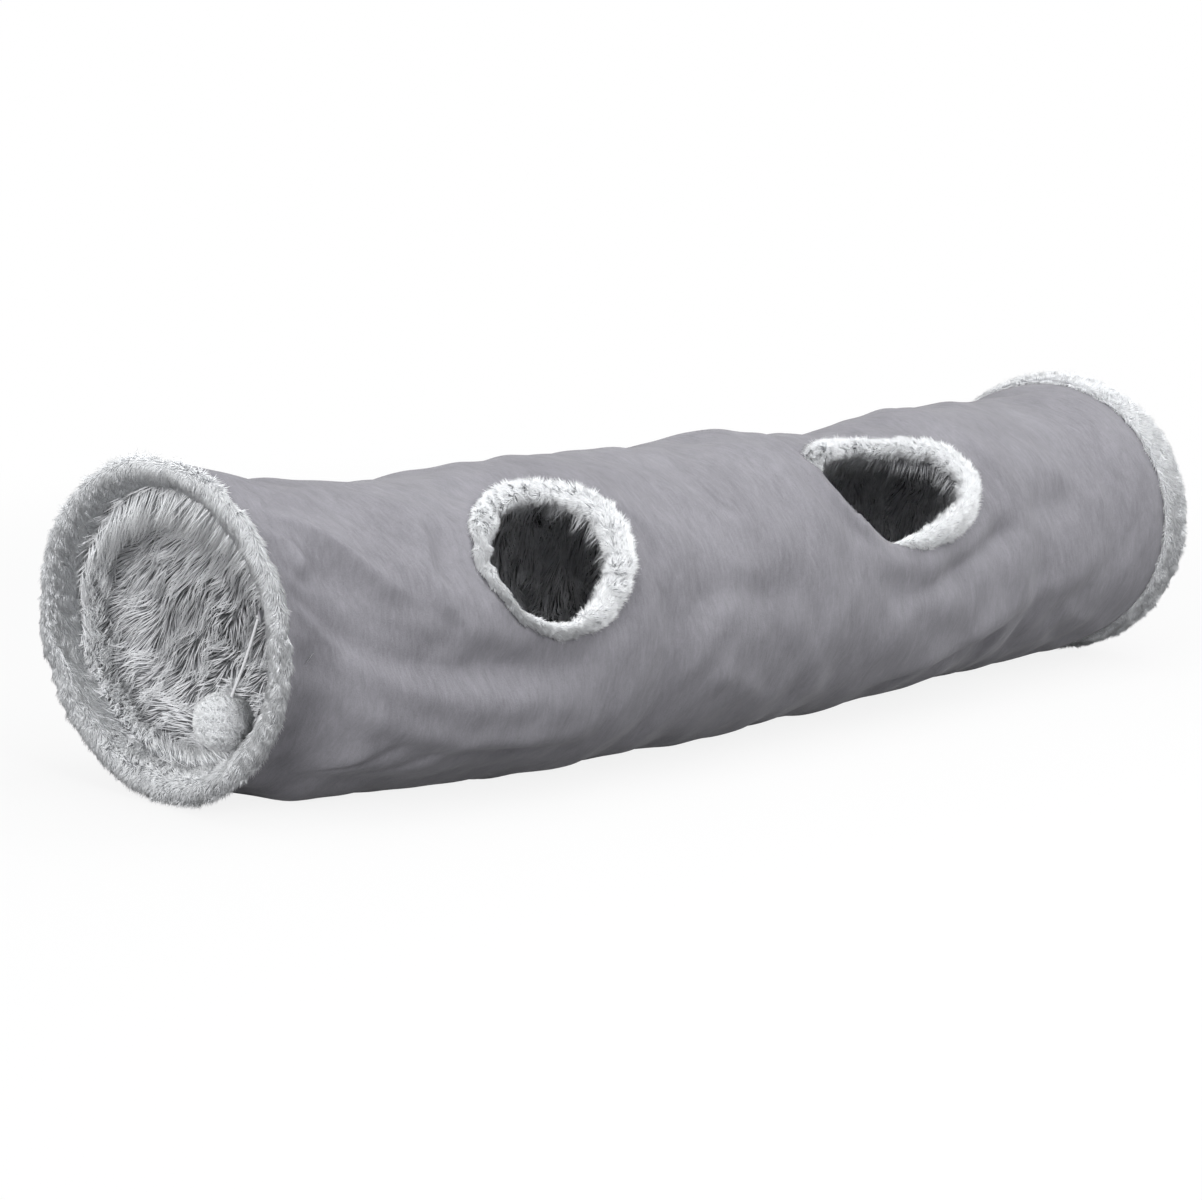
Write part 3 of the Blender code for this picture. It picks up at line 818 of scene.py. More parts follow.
def add_bump(tree: bpy.types.NodeTree, shader: bpy.types.Node, height, strength: float, reach: float) -> None:
    """Give a shader a bump from a height.

    Args:
        tree: Node tree of the material.
        shader: Its shader.
        height: Output socket of the height.
        strength: Strength of the bump.
        reach: Real height of the bump.
    """
    bump = add_node(tree, "ShaderNodeBump", {"Strength": strength, "Distance": reach})
    tree.links.new(height, bump.inputs["Height"])
    tree.links.new(bump.outputs["Normal"], shader.inputs["Normal"])


@dataclass(frozen=True)
class ClothFinish:
    """Brushed suede-look cloth, or woven tape."""

    name: str
    dark: Colour
    light: Colour
    roughness: float
    sheen: float
    fineness: float
    relief: float

    def material(self, effects: Effects) -> bpy.types.Material:
        """Build the material.

        Args:
            effects: The shared shader groups.

        Returns:
            The material.
        """
        looks = {
            "Roughness": self.roughness,
            "Specular IOR Level": 0.25,
            "Sheen Weight": self.sheen,
            "Sheen Roughness": 0.45,
        }
        made, tree, shader, places = new_material(self.name, looks)
        fineness = {"Fineness": self.fineness}
        grain = add_node(tree, "ShaderNodeGroup", fineness, node_tree=effects.woven_grain)
        tree.links.new(places["UV"], grain.inputs["Cloth UV"])
        tree.links.new(places["Object"], grain.inputs["Place"])
        spread = ramp(tree, grain.outputs["Tone"], 0.33, 0.67)
        colour = mixed_colour(tree, spread, self.dark, self.light)
        tree.links.new(colour, shader.inputs["Base Color"])
        add_bump(tree, shader, grain.outputs["Height"], 0.5, self.relief)
        return made


@dataclass(frozen=True)
class PlushFinish:
    """Plush pile, and the backing that it grows from."""

    name: str
    # Colour at a tuft's root, darker than its tip as painted shade deep in the pile.
    root: Colour
    tip: Colour
    unevenness: float
    # Share of the roots' colour that the backing's dark streaks keep, as painted shade under the pile.
    backing_shade_share: float = 0.7
    sheen: float = 0.15
    glow: float = 0.1

    def pile(self, effects: Effects) -> bpy.types.Material:
        """Build the material of the tufts.

        Args:
            effects: The shared shader groups.

        Returns:
            The material.
        """
        looks = {
            "Roughness": 0.72,
            "Specular IOR Level": 0.12,
            "Subsurface Weight": self.glow,
            "Subsurface Radius": (1.0, 1.0, 1.0),
            "Subsurface Scale": 0.001,
            "Sheen Weight": self.sheen,
            "Sheen Roughness": 0.5,
        }
        made, tree, shader, places = new_material(self.name, looks)
        colours = {"Shaded Root": (*self.root, 1), "Tip": (*self.tip, 1), "Unevenness": self.unevenness}
        tone = add_node(tree, "ShaderNodeGroup", colours, node_tree=effects.pile_tone)
        tree.links.new(places["UV"], tone.inputs["Tuft UV"])
        tree.links.new(places["Object"], tone.inputs["Place"])
        tree.links.new(tone.outputs["Color"], shader.inputs["Base Color"])
        return made

    def backing(self) -> bpy.types.Material:
        """Build the material of the backing, streaked like the pile's roots and darker than them as painted
        shade under the pile.

        Returns:
            The material.
        """
        looks = {"Roughness": 0.9, "Specular IOR Level": 0.2}
        made, tree, shader, places = new_material(self.name + "_backing", looks)
        fibre = noise(tree, places["Object"], {"Scale": 260.0, "Detail": 4.0, "Distortion": 1.2})
        spread = ramp(tree, fibre.outputs[0], 0.35, 0.68)
        # Painted shade: the dark streaks take the roots' colour darkened further, for the shade under the
        # pile.
        shade = tuple(c * self.backing_shade_share for c in self.root)
        tree.links.new(mixed_colour(tree, spread, shade, self.tip), shader.inputs["Base Color"])
        add_bump(tree, shader, fibre.outputs[0], 0.8, 0.002)
        return made


@dataclass(frozen=True)
class SteelFinish:
    """Drawn spring wire, with fine lines and a little bloom."""

    name: str
    colour: Colour
    bloom_share: float = 0.7

    def material(self) -> bpy.types.Material:
        """Build the material.

        Returns:
            The material.
        """
        made, tree, shader, places = new_material(self.name, {"Metallic": 1.0})
        lines = noise(tree, places["Object"], {"Scale": 700.0, "Detail": 3.0})
        gloss = add_node(tree, "ShaderNodeMapRange", {"To Min": 0.28, "To Max": 0.5})
        tree.links.new(lines.outputs[0], gloss.inputs["Value"])
        tree.links.new(gloss.outputs[0], shader.inputs["Roughness"])
        bloom = noise(tree, places["Object"], {"Scale": 40.0, "Detail": 4.0})
        dull = tuple(c * self.bloom_share for c in self.colour)
        colour = mixed_colour(tree, bloom.outputs[0], self.colour, dull)
        tree.links.new(colour, shader.inputs["Base Color"])
        add_bump(tree, shader, lines.outputs[0], 0.15, 0.0001)
        return made


@dataclass(frozen=True)
class CordFinish:
    """Twisted cotton yarn."""

    name: str
    dark: Colour
    light: Colour

    def material(self) -> bpy.types.Material:
        """Build the material.

        Returns:
            The material.
        """
        looks = {"Roughness": 0.85, "Sheen Weight": 0.2}
        made, tree, shader, places = new_material(self.name, looks)
        fibre = noise(tree, places["Object"], {"Scale": 1500.0, "Detail": 3.0, "Distortion": 0.8})
        colour = mixed_colour(tree, fibre.outputs[0], self.dark, self.light)
        tree.links.new(colour, shader.inputs["Base Color"])
        add_bump(tree, shader, fibre.outputs[0], 0.5, 0.0003)
        return made


def finish_piece(
    mesh: bpy.types.Mesh, name: str, material: bpy.types.Material
) -> bpy.types.Object:
    """Make an object of a finished mesh.

    Args:
        mesh: The mesh, in the model's coordinates.
        name: Name of the piece.
        material: Its material.

    Returns:
        The piece, at the origin.
    """
    mesh.materials.append(material)
    piece = bpy.data.objects.new(name, mesh)
    bpy.context.collection.objects.link(piece)
    LOG.info("%s: %d faces", name, len(mesh.polygons))
    return piece


def mesh_of(bm: bmesh.types.BMesh, name: str, outward: bool = True) -> bpy.types.Mesh:
    """Turn a bmesh into a smooth mesh whose faces point outwards.

    Args:
        bm: The bmesh, which is freed.
        name: Name of the mesh.
        outward: Whether the normals are worked out again.

    Returns:
        The mesh.
    """
    if outward:
        bmesh.ops.recalc_face_normals(bm, faces=bm.faces)
    mesh = bpy.data.meshes.new(name)
    bm.to_mesh(mesh)
    bm.free()
    mesh.shade_smooth()
    return mesh


def give_wall(piece: bpy.types.Object, thickness: float) -> None:
    """Thicken a sheet inwards for good, so that its wall keeps its place when the cloth folds.

    Args:
        piece: The sheet.
        thickness: Thickness of its wall.
    """
    wall = piece.modifiers.new("wall", "SOLIDIFY")
    wall.thickness, wall.offset = thickness, -1
    depsgraph = bpy.context.evaluated_depsgraph_get()
    solid = bpy.data.meshes.new_from_object(
        piece.evaluated_get(depsgraph), preserve_all_data_layers=True, depsgraph=depsgraph
    )
    piece.modifiers.clear()
    piece.data = solid


@dataclass(frozen=True)
class Bed:
    """Backing that pile grows from: roots, the way out of it, and two ways along it."""

    roots: Array
    normals: Array
    round_it: Array
    across: Array

    @classmethod
    def of_grid(cls, points: Array, core: Array, closed: bool, seed: int, inward: bool = False) -> "Bed":
        """Spread roots over a surface that is given as a grid of points.

        Args:
            points: Points of the surface, first going round it and then across it.
            core: Points inside the surface, to tell out from in.
            closed: Whether the second way closes on itself too.
            seed: Seed of the roots' scatter.
            inward: Whether the pile grows inwards.

        Returns:
            The bed.
        """
        rng = np.random.default_rng(seed)
        round_it = np.roll(points, -1, 0) - points
        across = np.roll(points, -1, 1) - points
        if not closed:
            points, round_it = points[:, :-1], round_it[:, :-1]
            across, core = across[:, :-1], core[:, :-1]
        normals = unit(np.cross(round_it, across))
        flip = math.copysign(1, np.sum(normals * (points - core)))
        normals = normals * flip * (-1.0 if inward else 1.0)
        scatter = rng.uniform(0, 1, (2, *points.shape[:2], 1))
        roots = points + scatter[0] * round_it + scatter[1] * across
        flat = [a.reshape(-1, 3) for a in (roots, normals, unit(round_it), unit(across))]
        return cls(*flat)

    def keep(self, wanted: Array) -> "Bed":
        """Take a part of the bed.

        Args:
            wanted: Which roots are wanted.

        Returns:
            That part.
        """
        parts = (self.roots, self.normals, self.round_it, self.across)
        return Bed(*[a[wanted] for a in parts])


@dataclass(frozen=True)
class Pile:
    """How a plush stands: sizes and directions of its tufts.

    Attributes:
        length: Length of a tuft.
        width: Width of a tuft at its root.
        stand: How strongly it stands up from the backing.
        clump: How strongly neighbouring tufts lean together.
        clump_size: Distance between clumps.
        lay_round: How strongly it leans the first way along the backing.
        lay_across: How strongly it leans the second way.
        droop: How strongly it leans down along the backing.
        hang: How strongly its tip hangs down.
        bends: How many straight parts a tuft has.
        stray: How much single tufts leave the way of their clump.
    """

    length: float
    width: float
    stand: float
    clump: float
    clump_size: float
    lay_round: float = 0.0
    lay_across: float = 0.0
    droop: float = 0.0
    hang: float = 0.05
    bends: int = 2
    stray: float = 0.20

    def _tuft(self) -> tuple[Array, Array]:
        """Shape one tuft, one unit long and one unit wide.

        Returns:
            Its points and its triangles.
        """
        bm = bmesh.new()
        bmesh.ops.create_cone(bm, cap_ends=True, segments=3, radius1=0.5, radius2=0, depth=1)
        bmesh.ops.translate(bm, verts=bm.verts, vec=(0, 0, 0.5))
        for k in range(1, self.bends):
            geom = bm.verts[:] + bm.edges[:] + bm.faces[:]
            cut = (0, 0, k / self.bends)
            bmesh.ops.bisect_plane(bm, geom=geom, plane_co=cut, plane_no=(0, 0, 1))
        bmesh.ops.triangulate(bm, faces=bm.faces)
        bm.verts.ensure_lookup_table()
        points = np.array([vert.co for vert in bm.verts])
        faces = np.array([[vert.index for vert in face.verts] for face in bm.faces])
        bm.free()
        return points, faces

    def grow(self, bed: Bed, name: str, seed: int, lengths: Array | None = None) -> bpy.types.Mesh:
        """Grow tufts on a bed.

        Args:
            bed: Where they grow.
            name: Name of the mesh.
            seed: Seed of their differences.
            lengths: Share of the full length that each tuft has, if they differ.

        Returns:
            A mesh of closed tufts, with a tuft's own number and height as its UV.
        """
        rng = np.random.default_rng(seed)
        count = len(bed.roots)
        shape, faces = self._tuft()
        tall = self.length * rng.uniform(0.75, 1.2, count)
        if lengths is not None:
            tall = tall * lengths
        lean = wander(bed.roots, self.clump_size, seed)
        lean = lean + 0.6 * wander(bed.roots, self.clump_size * 2.7, seed + 1)
        lean = lean + rng.normal(scale=self.stray, size=(count, 3))
        lean = lean - np.sum(lean * bed.normals, axis=1, keepdims=True) * bed.normals
        start = bed.normals * self.stand + bed.round_it * self.lay_round + bed.across * self.lay_across
        start = start + (DOWN - (bed.normals @ DOWN)[:, None] * bed.normals) * self.droop
        start = unit(start + lean * self.clump)
        later = DOWN * self.hang + lean * self.clump * 0.5 + bed.round_it * self.lay_round * 0.4
        later = later + bed.across * self.lay_across * 0.4
        side = unit(np.cross(start, unit(rng.normal(size=(count, 3)))))
        other = np.cross(start, side)
        up = shape[None, :, 2, None]
        way = up * start[:, None] + up**2 * 0.5 * later[:, None]
        points = bed.roots[:, None] + tall[:, None, None] * way
        thick = (self.width * rng.uniform(0.7, 1.25, count))[:, None, None]
        points = points + thick * shape[None, :, 0, None] * side[:, None]
        points = points + thick * shape[None, :, 1, None] * other[:, None]
        points[..., 2] = np.maximum(points[..., 2], 0.0)
        every = faces[None] + (np.arange(count) * len(shape))[:, None, None]
        mesh = bpy.data.meshes.new(name)
        mesh.from_pydata(points.reshape(-1, 3), [], every.reshape(-1, 3))
        numbers = np.broadcast_to(rng.uniform(0, 1, count)[:, None, None], every.shape)
        heights = np.broadcast_to(shape[:, 2][faces][None], every.shape)
        layer = mesh.uv_layers.new(name="tuft")
        layer.data.foreach_set("uv", np.stack([numbers, heights], -1).astype(np.float32).ravel())
        mesh.shade_smooth()
        return mesh


@dataclass(frozen=True)
class Layer:
    """One of the two cloths of the tube.

    Attributes:
        piece: Ending of the names of its pieces.
        node: Ending of the names of the CAD nodes that they stand for.
        slot: Material slot of the record that it takes its finish from.
        depth: How far below the outer face of the shell it lies.
        wall: Its thickness.
        coarse: How many times wider its faces are than those of the shell.
        fine: Whether it shows the narrow creases.
    """

    # slot: Material slot of the record for its finish; not used.
    piece: str
    node: str
    slot: Slot
    depth: float
    wall: float
    coarse: int
    fine: bool


@dataclass(frozen=True)
class ClothTube:
    """The shell of suede-look cloth and the plush lining inside it, bay by bay.

    Attributes:
        tube: The tube that they follow.
        toy: The toy that hangs in the near mouth, which the plush leaves room for.
        shell: The outer cloth.
        lining: The backing of the plush inside it.
        columns: How many faces the shell has round the tube.
        row_size: Length of its faces along the tube.
        hem_row: Length of the narrow faces at both ends of a bay.
        window_ease: How much wider than its cut a window's hole is, all round.
        pile: How the plush of the lining stands.
        tuft_gap: Distance between its tufts.
        pile_start: Station where it starts.
        fringe: How the long plush behind the near mouth stands.
        fringe_start: Station where that starts.
        fringe_end: Station where it ends.
        fringe_gap: Distance between its tufts.
        fringe_short: Share of its length that the fringe has away from the mouth's top.
    """

    tube: Tube
    toy: "HangingPompom"
    shell: Layer = Layer("cloth", "shell", Slot.SUEDE, 0.0, 0.0012, 1, True)
    lining: Layer = Layer("backing", "lining", Slot.LINING, 0.0074, 0.005, 2, False)
    columns: int = 232
    row_size: float = 0.0032
    hem_row: float = 0.0002
    window_ease: float = 0.0003
    pile: Pile = Pile(
        length=0.023,
        width=0.0024,
        stand=0.50,
        lay_across=-0.55,
        droop=0.35,
        hang=0.40,
        clump=0.34,
        clump_size=0.026,
        bends=1,
    )
    tuft_gap: float = 0.0026
    pile_start: float = 0.030
    fringe: Pile = Pile(
        length=0.040,
        width=0.0021,
        stand=0.85,
        lay_across=-0.25,
        droop=0.22,
        hang=0.30,
        clump=0.20,
        clump_size=0.012,
        stray=0.15,
    )
    fringe_start: float = 0.022
    fringe_end: float = 0.050
    fringe_gap: float = 0.0018
    fringe_short: float = 0.62

    def _bay_sheet(self, bay: int, layer: Layer) -> bmesh.types.BMesh:
        """Build one bay of a layer as an open tube with UVs in metres.

        Args:
            bay: Which bay.
            layer: Which cloth.

        Returns:
            The layer, with its seam underneath.
        """
        tube = self.tube
        start, end = tube.hoop_station(bay), tube.hoop_station(bay + 1)
        rows = round((end - start) / self.row_size / layer.coarse)
        bm = bmesh.new()
        columns = self.columns // layer.coarse
        bmesh.ops.create_grid(bm, x_segments=columns, y_segments=rows, size=0.5)
        hem = self.hem_row / (end - start)
        for vert in bm.verts:
            row = (vert.co.y + 0.5) * rows
            vert.co.y = np.interp(row, [0, 1, rows - 1, rows], [0, hem, 1 - hem, 1]) - 0.5
        sheet_uv = bm.loops.layers.uv.new("cloth")
        girth = TURN * tube.radius
        for face in bm.faces:
            for loop in face.loops:
                flat = loop.vert.co
                loop[sheet_uv].uv = ((flat.x + 0.5) * girth, start + (flat.y + 0.5) * (end - start))
        grid = np.array([vert.co for vert in bm.verts]) + 0.5
        stations = start + grid[:, 1] * (end - start)
        points = tube.point(stations, grid[:, 0] * TURN - math.pi / 2, layer.depth, layer.fine)
        for vert, point in zip(bm.verts, points):
            vert.co = point
        bmesh.ops.remove_doubles(bm, verts=bm.verts, dist=1e-6)
        bmesh.ops.recalc_face_normals(bm, faces=bm.faces)
        middle = Vector(tube.centre(np.array((start + end) / 2)))
        face = min(bm.faces, key=lambda f: abs(f.calc_center_median().x - middle.x))
        if face.normal.dot(face.calc_center_median() - middle) < 0:
            bmesh.ops.reverse_faces(bm, faces=bm.faces)
        return bm

    def _open_window(self, bm: bmesh.types.BMesh, window: Window) -> None:
        """Cut a window out of a sheet and draw its edge onto the oval.

        Args:
            bm: The sheet.
            window: The window.
        """
        middle, long_axis, up_axis, out = self.tube.window_axes(window)
        half_length = window.length / 2 + self.window_ease
        half_height = window.height / 2 + self.window_ease

        def reach(vert: bmesh.types.BMVert) -> float:
            """How far out a vertex lies, where 1 is on the oval."""
            away = vert.co - middle
            if away.dot(out) < -self.tube.radius / 2:
                return math.inf
            return math.hypot(away.dot(long_axis) / half_length, away.dot(up_axis) / half_height)

        inside = {vert for vert in bm.verts if reach(vert) < 1}
        doomed = [face for face in bm.faces if any(vert in inside for vert in face.verts)]
        rim = {vert for face in doomed for vert in face.verts} - inside
        bmesh.ops.delete(bm, geom=doomed, context="FACES")
        for vert in rim:
            away = vert.co - middle
            level = long_axis * away.dot(long_axis) + up_axis * away.dot(up_axis)
            vert.co -= level * (1 - 1 / reach(vert))

    def _windows(self, bay: int) -> list[Window]:
        """Give the windows of a bay."""
        return [window for window in self.tube.windows if window.bay == bay]

    def _build_sheet(self, bay: int, layer: Layer, material: bpy.types.Material) -> BVHTree:
        """Build one bay of a cloth.

        Args:
            bay: Which bay.
            layer: Which cloth.
            material: Its material.

        Returns:
            The cloth without its windows.
        """
        tube, windows = self.tube, self._windows(bay)
        bm = self._bay_sheet(bay, layer)
        skin = BVHTree.FromBMesh(bm)
        for window in windows:
            self._open_window(bm, window)
        name = f"bay_{bay + 1}_{layer.piece}"
        sheet = finish_piece(mesh_of(bm, name, False), name, material)
        give_wall(sheet, layer.wall)
        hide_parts(f"bay_{bay + 1}_{layer.node}")
        length = tube.hoop_station(bay + 1) - tube.hoop_station(bay)
        tube.fold_with_bay(sheet, bay)
        return skin

    def build(
        self, suede: bpy.types.Material, finish: PlushFinish, edge: PlushFinish, effects: Effects
    ) -> list[BVHTree]:
        """Build every bay of the shell, the lining and its pile.

        Args:
            suede: Material of the shell.
            finish: Finish of the lining, greyer than the fringe's plush as painted shade for the dim inside
                of the tunnel.
            edge: Finish of the long pile behind the near mouth.
            effects: The shared shader groups.

        Returns:
            The uncut shell of each bay, for the window trims to lie on.
        """
        tube = self.tube
        pile_material, backing = finish.pile(effects), finish.backing()
        skins = []
        for bay in range(len(tube.bays)):
            skins.append(self._build_sheet(bay, self.shell, suede))
            self._build_sheet(bay, self.lining, backing)
            start, end = max(tube.hoop_station(bay), self.pile_start), tube.hoop_station(bay + 1)
            bed = self._pile_bed(start, end, self.tuft_gap, self._windows(bay), 40 + bay)
            bed = self.toy.spare(bed, self.pile.length)
            mesh = self.pile.grow(bed, f"bay_{bay + 1}_pile", 100 + bay)
            fur = finish_piece(mesh, f"bay_{bay + 1}_pile", pile_material)
            tube.fold_with_bay(fur, bay)
        bed = self._pile_bed(self.fringe_start, self.fringe_end, self.fringe_gap, [], 45)
        bed = self.toy.spare(bed, self.fringe.length)
        top_share = eased(bed.normals @ DOWN, 0.2, 0.9)
        lengths = self.fringe_short + (1 - self.fringe_short) * top_share
        mesh = self.fringe.grow(bed, "mouth_fringe", 110, lengths)
        fur = finish_piece(mesh, "mouth_fringe", edge.pile(effects))
        tube.fold_with_bay(fur, 0)
        return skins

    def _pile_bed(self, start: float, end: float, gap: float, windows: list[Window], seed: int) -> Bed:
        """Spread the roots of the lining's pile over a stretch of the tube, off its windows.

        Args:
            start: Station where the stretch starts.
            end: Station where it ends.
            gap: Distance between tufts.
            windows: The windows in it.
            seed: Seed of the roots' scatter.

        Returns:
            The bed.
        """
        tube = self.tube
        depth = self.lining.depth + self.lining.wall
        inner = tube.radius - depth
        angles = np.linspace(0, TURN, round(TURN * inner / gap), endpoint=False)
        stations = np.linspace(start, end, round((end - start) / gap))
        angle, station = np.meshgrid(angles, stations, indexing="ij")
        points = tube.point(station, angle, depth, False)
        core = np.broadcast_to(tube.centre(stations), points.shape)
        bed = Bed.of_grid(points, core, False, seed, inward=True)
        wanted = np.ones(len(bed.roots), bool)
        for window in windows:
            middle, long_axis, up_axis, out = [np.array(v) for v in tube.window_axes(window)]
            away = bed.roots - middle
            oval = np.hypot(away @ long_axis / (window.length / 2), away @ up_axis / (window.height / 2))
            wanted &= (oval > 1) | (away @ out < -tube.radius / 2)
        return bed.keep(wanted)


@dataclass(frozen=True)
class MouthTrim:
    """Plush trim round a mouth.

    Attributes:
        tube: The tube that it closes.
        toy: The toy that hangs in a mouth, which the plush leaves room for.
        index: Hoop index of its mouth.
        outline: Its closed section, as (distance out of the mouth, radius) points.
        outward: 1 at the far mouth and -1 at the near one.
        pile: How its plush stands.
        gap: Distance between tufts.
        sway: How uneven the trim is.
        steps: How many parts it has round the mouth.
        section_steps: How many parts its section has.
        lump_sizes: Usual sizes of its large and its small lumps.
        covered_from: How far into the mouth the cloth covers what lies between two radii.
        covered_radii: Those radii.
    """

    tube: Tube
    toy: "HangingPompom"
    index: int
    outline: tuple[tuple[float, float], ...]
    outward: int
    pile: Pile
    gap: float
    sway: float
    steps: int = 220
    section_steps: int = 44
    lump_sizes: tuple[float, float] = (0.055, 0.020)
    covered_from: float = 0.009
    covered_radii: tuple[float, float] = (0.129, 0.1426)

    def _section(self, count: int) -> Array:
        """Space points evenly on a smooth curve through the section.

        Args:
            count: How many points.

        Returns:
            The points, as rows of (distance along the hoop's axis, radius).
        """
        corners = np.array(self.outline) * (self.outward, 1)
        for _ in range(3):
            following = np.roll(corners, -1, 0)
            pairs = np.stack([corners * 0.75 + following * 0.25, corners * 0.25 + following * 0.75], 1)
            corners = pairs.reshape(-1, 2)
        closed = np.vstack([corners, corners[:1]])
        run = np.concatenate([[0], np.cumsum(np.linalg.norm(np.diff(closed, axis=0), axis=1))])
        at = np.linspace(0, run[-1], count, endpoint=False)
        return np.stack([np.interp(at, run, closed[:, 0]), np.interp(at, run, closed[:, 1])], 1)

    def _lumps(self, points: Array) -> Array:
        """Move points a little, because stuffed plush is never even.

        Args:
            points: The points.

        Returns:
            The moved points, none of them under the floor.
        """
        large, small = self.lump_sizes
        moved = points + wander(points, large, 5 + self.index) * self.sway
        moved = moved + wander(points, small, 9 + self.index) * self.sway * 0.4
        moved[..., 2] = np.maximum(moved[..., 2], 0.0)
        return moved

    def build(self, name: str, finish: PlushFinish, effects: Effects) -> None:
        """Build the trim and its pile.

        Args:
            name: Name of the CAD node that it stands for.
            finish: Finish of the plush.
            effects: The shared shader groups.
        """
        tube, body = self.tube, HOOPS[self.index].value
        section = self._section(self.section_steps)
        bm = bmesh.new()
        verts = [
            bm.verts.new(tube.ring_point(self.index, along, radius, 0.0))
            for along, radius in section
        ]
        edges = [bm.edges.new((vert, verts[k - 1])) for k, vert in enumerate(verts)]
        bmesh.ops.spin(
            bm,
            geom=verts + edges,
            cent=tube.hoop_centre(self.index),
            axis=tube.along,
            angle=TURN,
            steps=self.steps,
            use_merge=True,
        )
        moved = self._lumps(np.array([vert.co for vert in bm.verts]))
        for vert, point in zip(bm.verts, moved):
            vert.co = point
        roll = finish_piece(mesh_of(bm, name + "_roll"), name + "_roll", finish.backing())
        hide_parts(name)
        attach(roll, body)

        girth = np.linalg.norm(np.diff(section, axis=0), axis=1).sum()
        section = self._section(round(girth / self.gap))
        angles = np.linspace(0, TURN, round(TURN * tube.trim_radius / self.gap), endpoint=False)
        points = tube.ring_point(self.index, section[None, :, 0], section[None, :, 1], angles[:, None])
        points = self._lumps(points.reshape(-1, 3)).reshape(points.shape)
        core = np.broadcast_to(points.mean(axis=1, keepdims=True), points.shape)
        bed = Bed.of_grid(points, core, True, 60 + self.index)
        low, high = self.covered_radii
        covered = (section[:, 0] * self.outward < -self.covered_from) & (section[:, 1] > low)
        covered &= section[:, 1] < high
        bed = bed.keep(~np.tile(covered, len(angles)))
        bed = self.toy.spare(bed, self.pile.length / 2)
        mesh = self.pile.grow(bed, name + "_pile", 120 + self.index)
        fur = finish_piece(mesh, name + "_pile", finish.pile(effects))
        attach(fur, body)


def near_mouth_trim(tube: Tube, toy: "HangingPompom") -> MouthTrim:
    """Size the soft roll round the near mouth, with its flange inside the lining.

    Args:
        tube: The tube.
        toy: The toy that hangs in the mouth.

    Returns:
        The trim.
    """
    section = (
        (-0.0220, 0.1288),
        (-0.0212, 0.1272),
        (-0.0100, 0.1268),
        (0.0000, 0.1290),
        (0.0050, 0.1335),
        (0.0068, 0.1395),
        (0.0052, 0.1450),
        (0.0010, 0.1472),
        (-0.0034, 0.1464),
        (-0.0060, 0.1430),
        (-0.0068, 0.1360),
        (-0.0084, 0.1300),
    )
    pile = Pile(
        length=0.0090,
        width=0.0012,
        stand=0.24,
        lay_across=-0.22,
        droop=0.80,
        clump=0.30,
        clump_size=0.011,
        bends=1,
        stray=0.16,
    )
    return MouthTrim(tube, toy, 0, section, -1, pile, gap=0.00125, sway=0.0010)


def far_mouth_trim(tube: Tube, toy: "HangingPompom") -> MouthTrim:
    """Size the plush band that laps over the end of the shell at the far mouth.

    Args:
        tube: The tube.
        toy: The toy, which hangs in the other mouth.

    Returns:
        The trim.
    """
    section = (
        (-0.0320, 0.1424),
        (-0.0320, 0.1446),
        (-0.0290, 0.1462),
        (-0.0170, 0.1484),
        (-0.0020, 0.1498),
        (0.0055, 0.1480),
        (0.0086, 0.1430),
        (0.0086, 0.1340),
        (0.0060, 0.1285),
        (0.0000, 0.1265),
        (-0.0080, 0.1272),
        (-0.0120, 0.1300),
        (-0.0120, 0.1424),
    )
    pile = Pile(
        length=0.0065,
        width=0.0012,
        stand=0.22,
        lay_across=0.10,
        droop=0.30,
        clump=0.22,
        clump_size=0.013,
        bends=1,
        stray=0.14,
    )
    return MouthTrim(tube, toy, len(tube.bays), section, 1, pile, gap=0.00145, sway=0.0007)


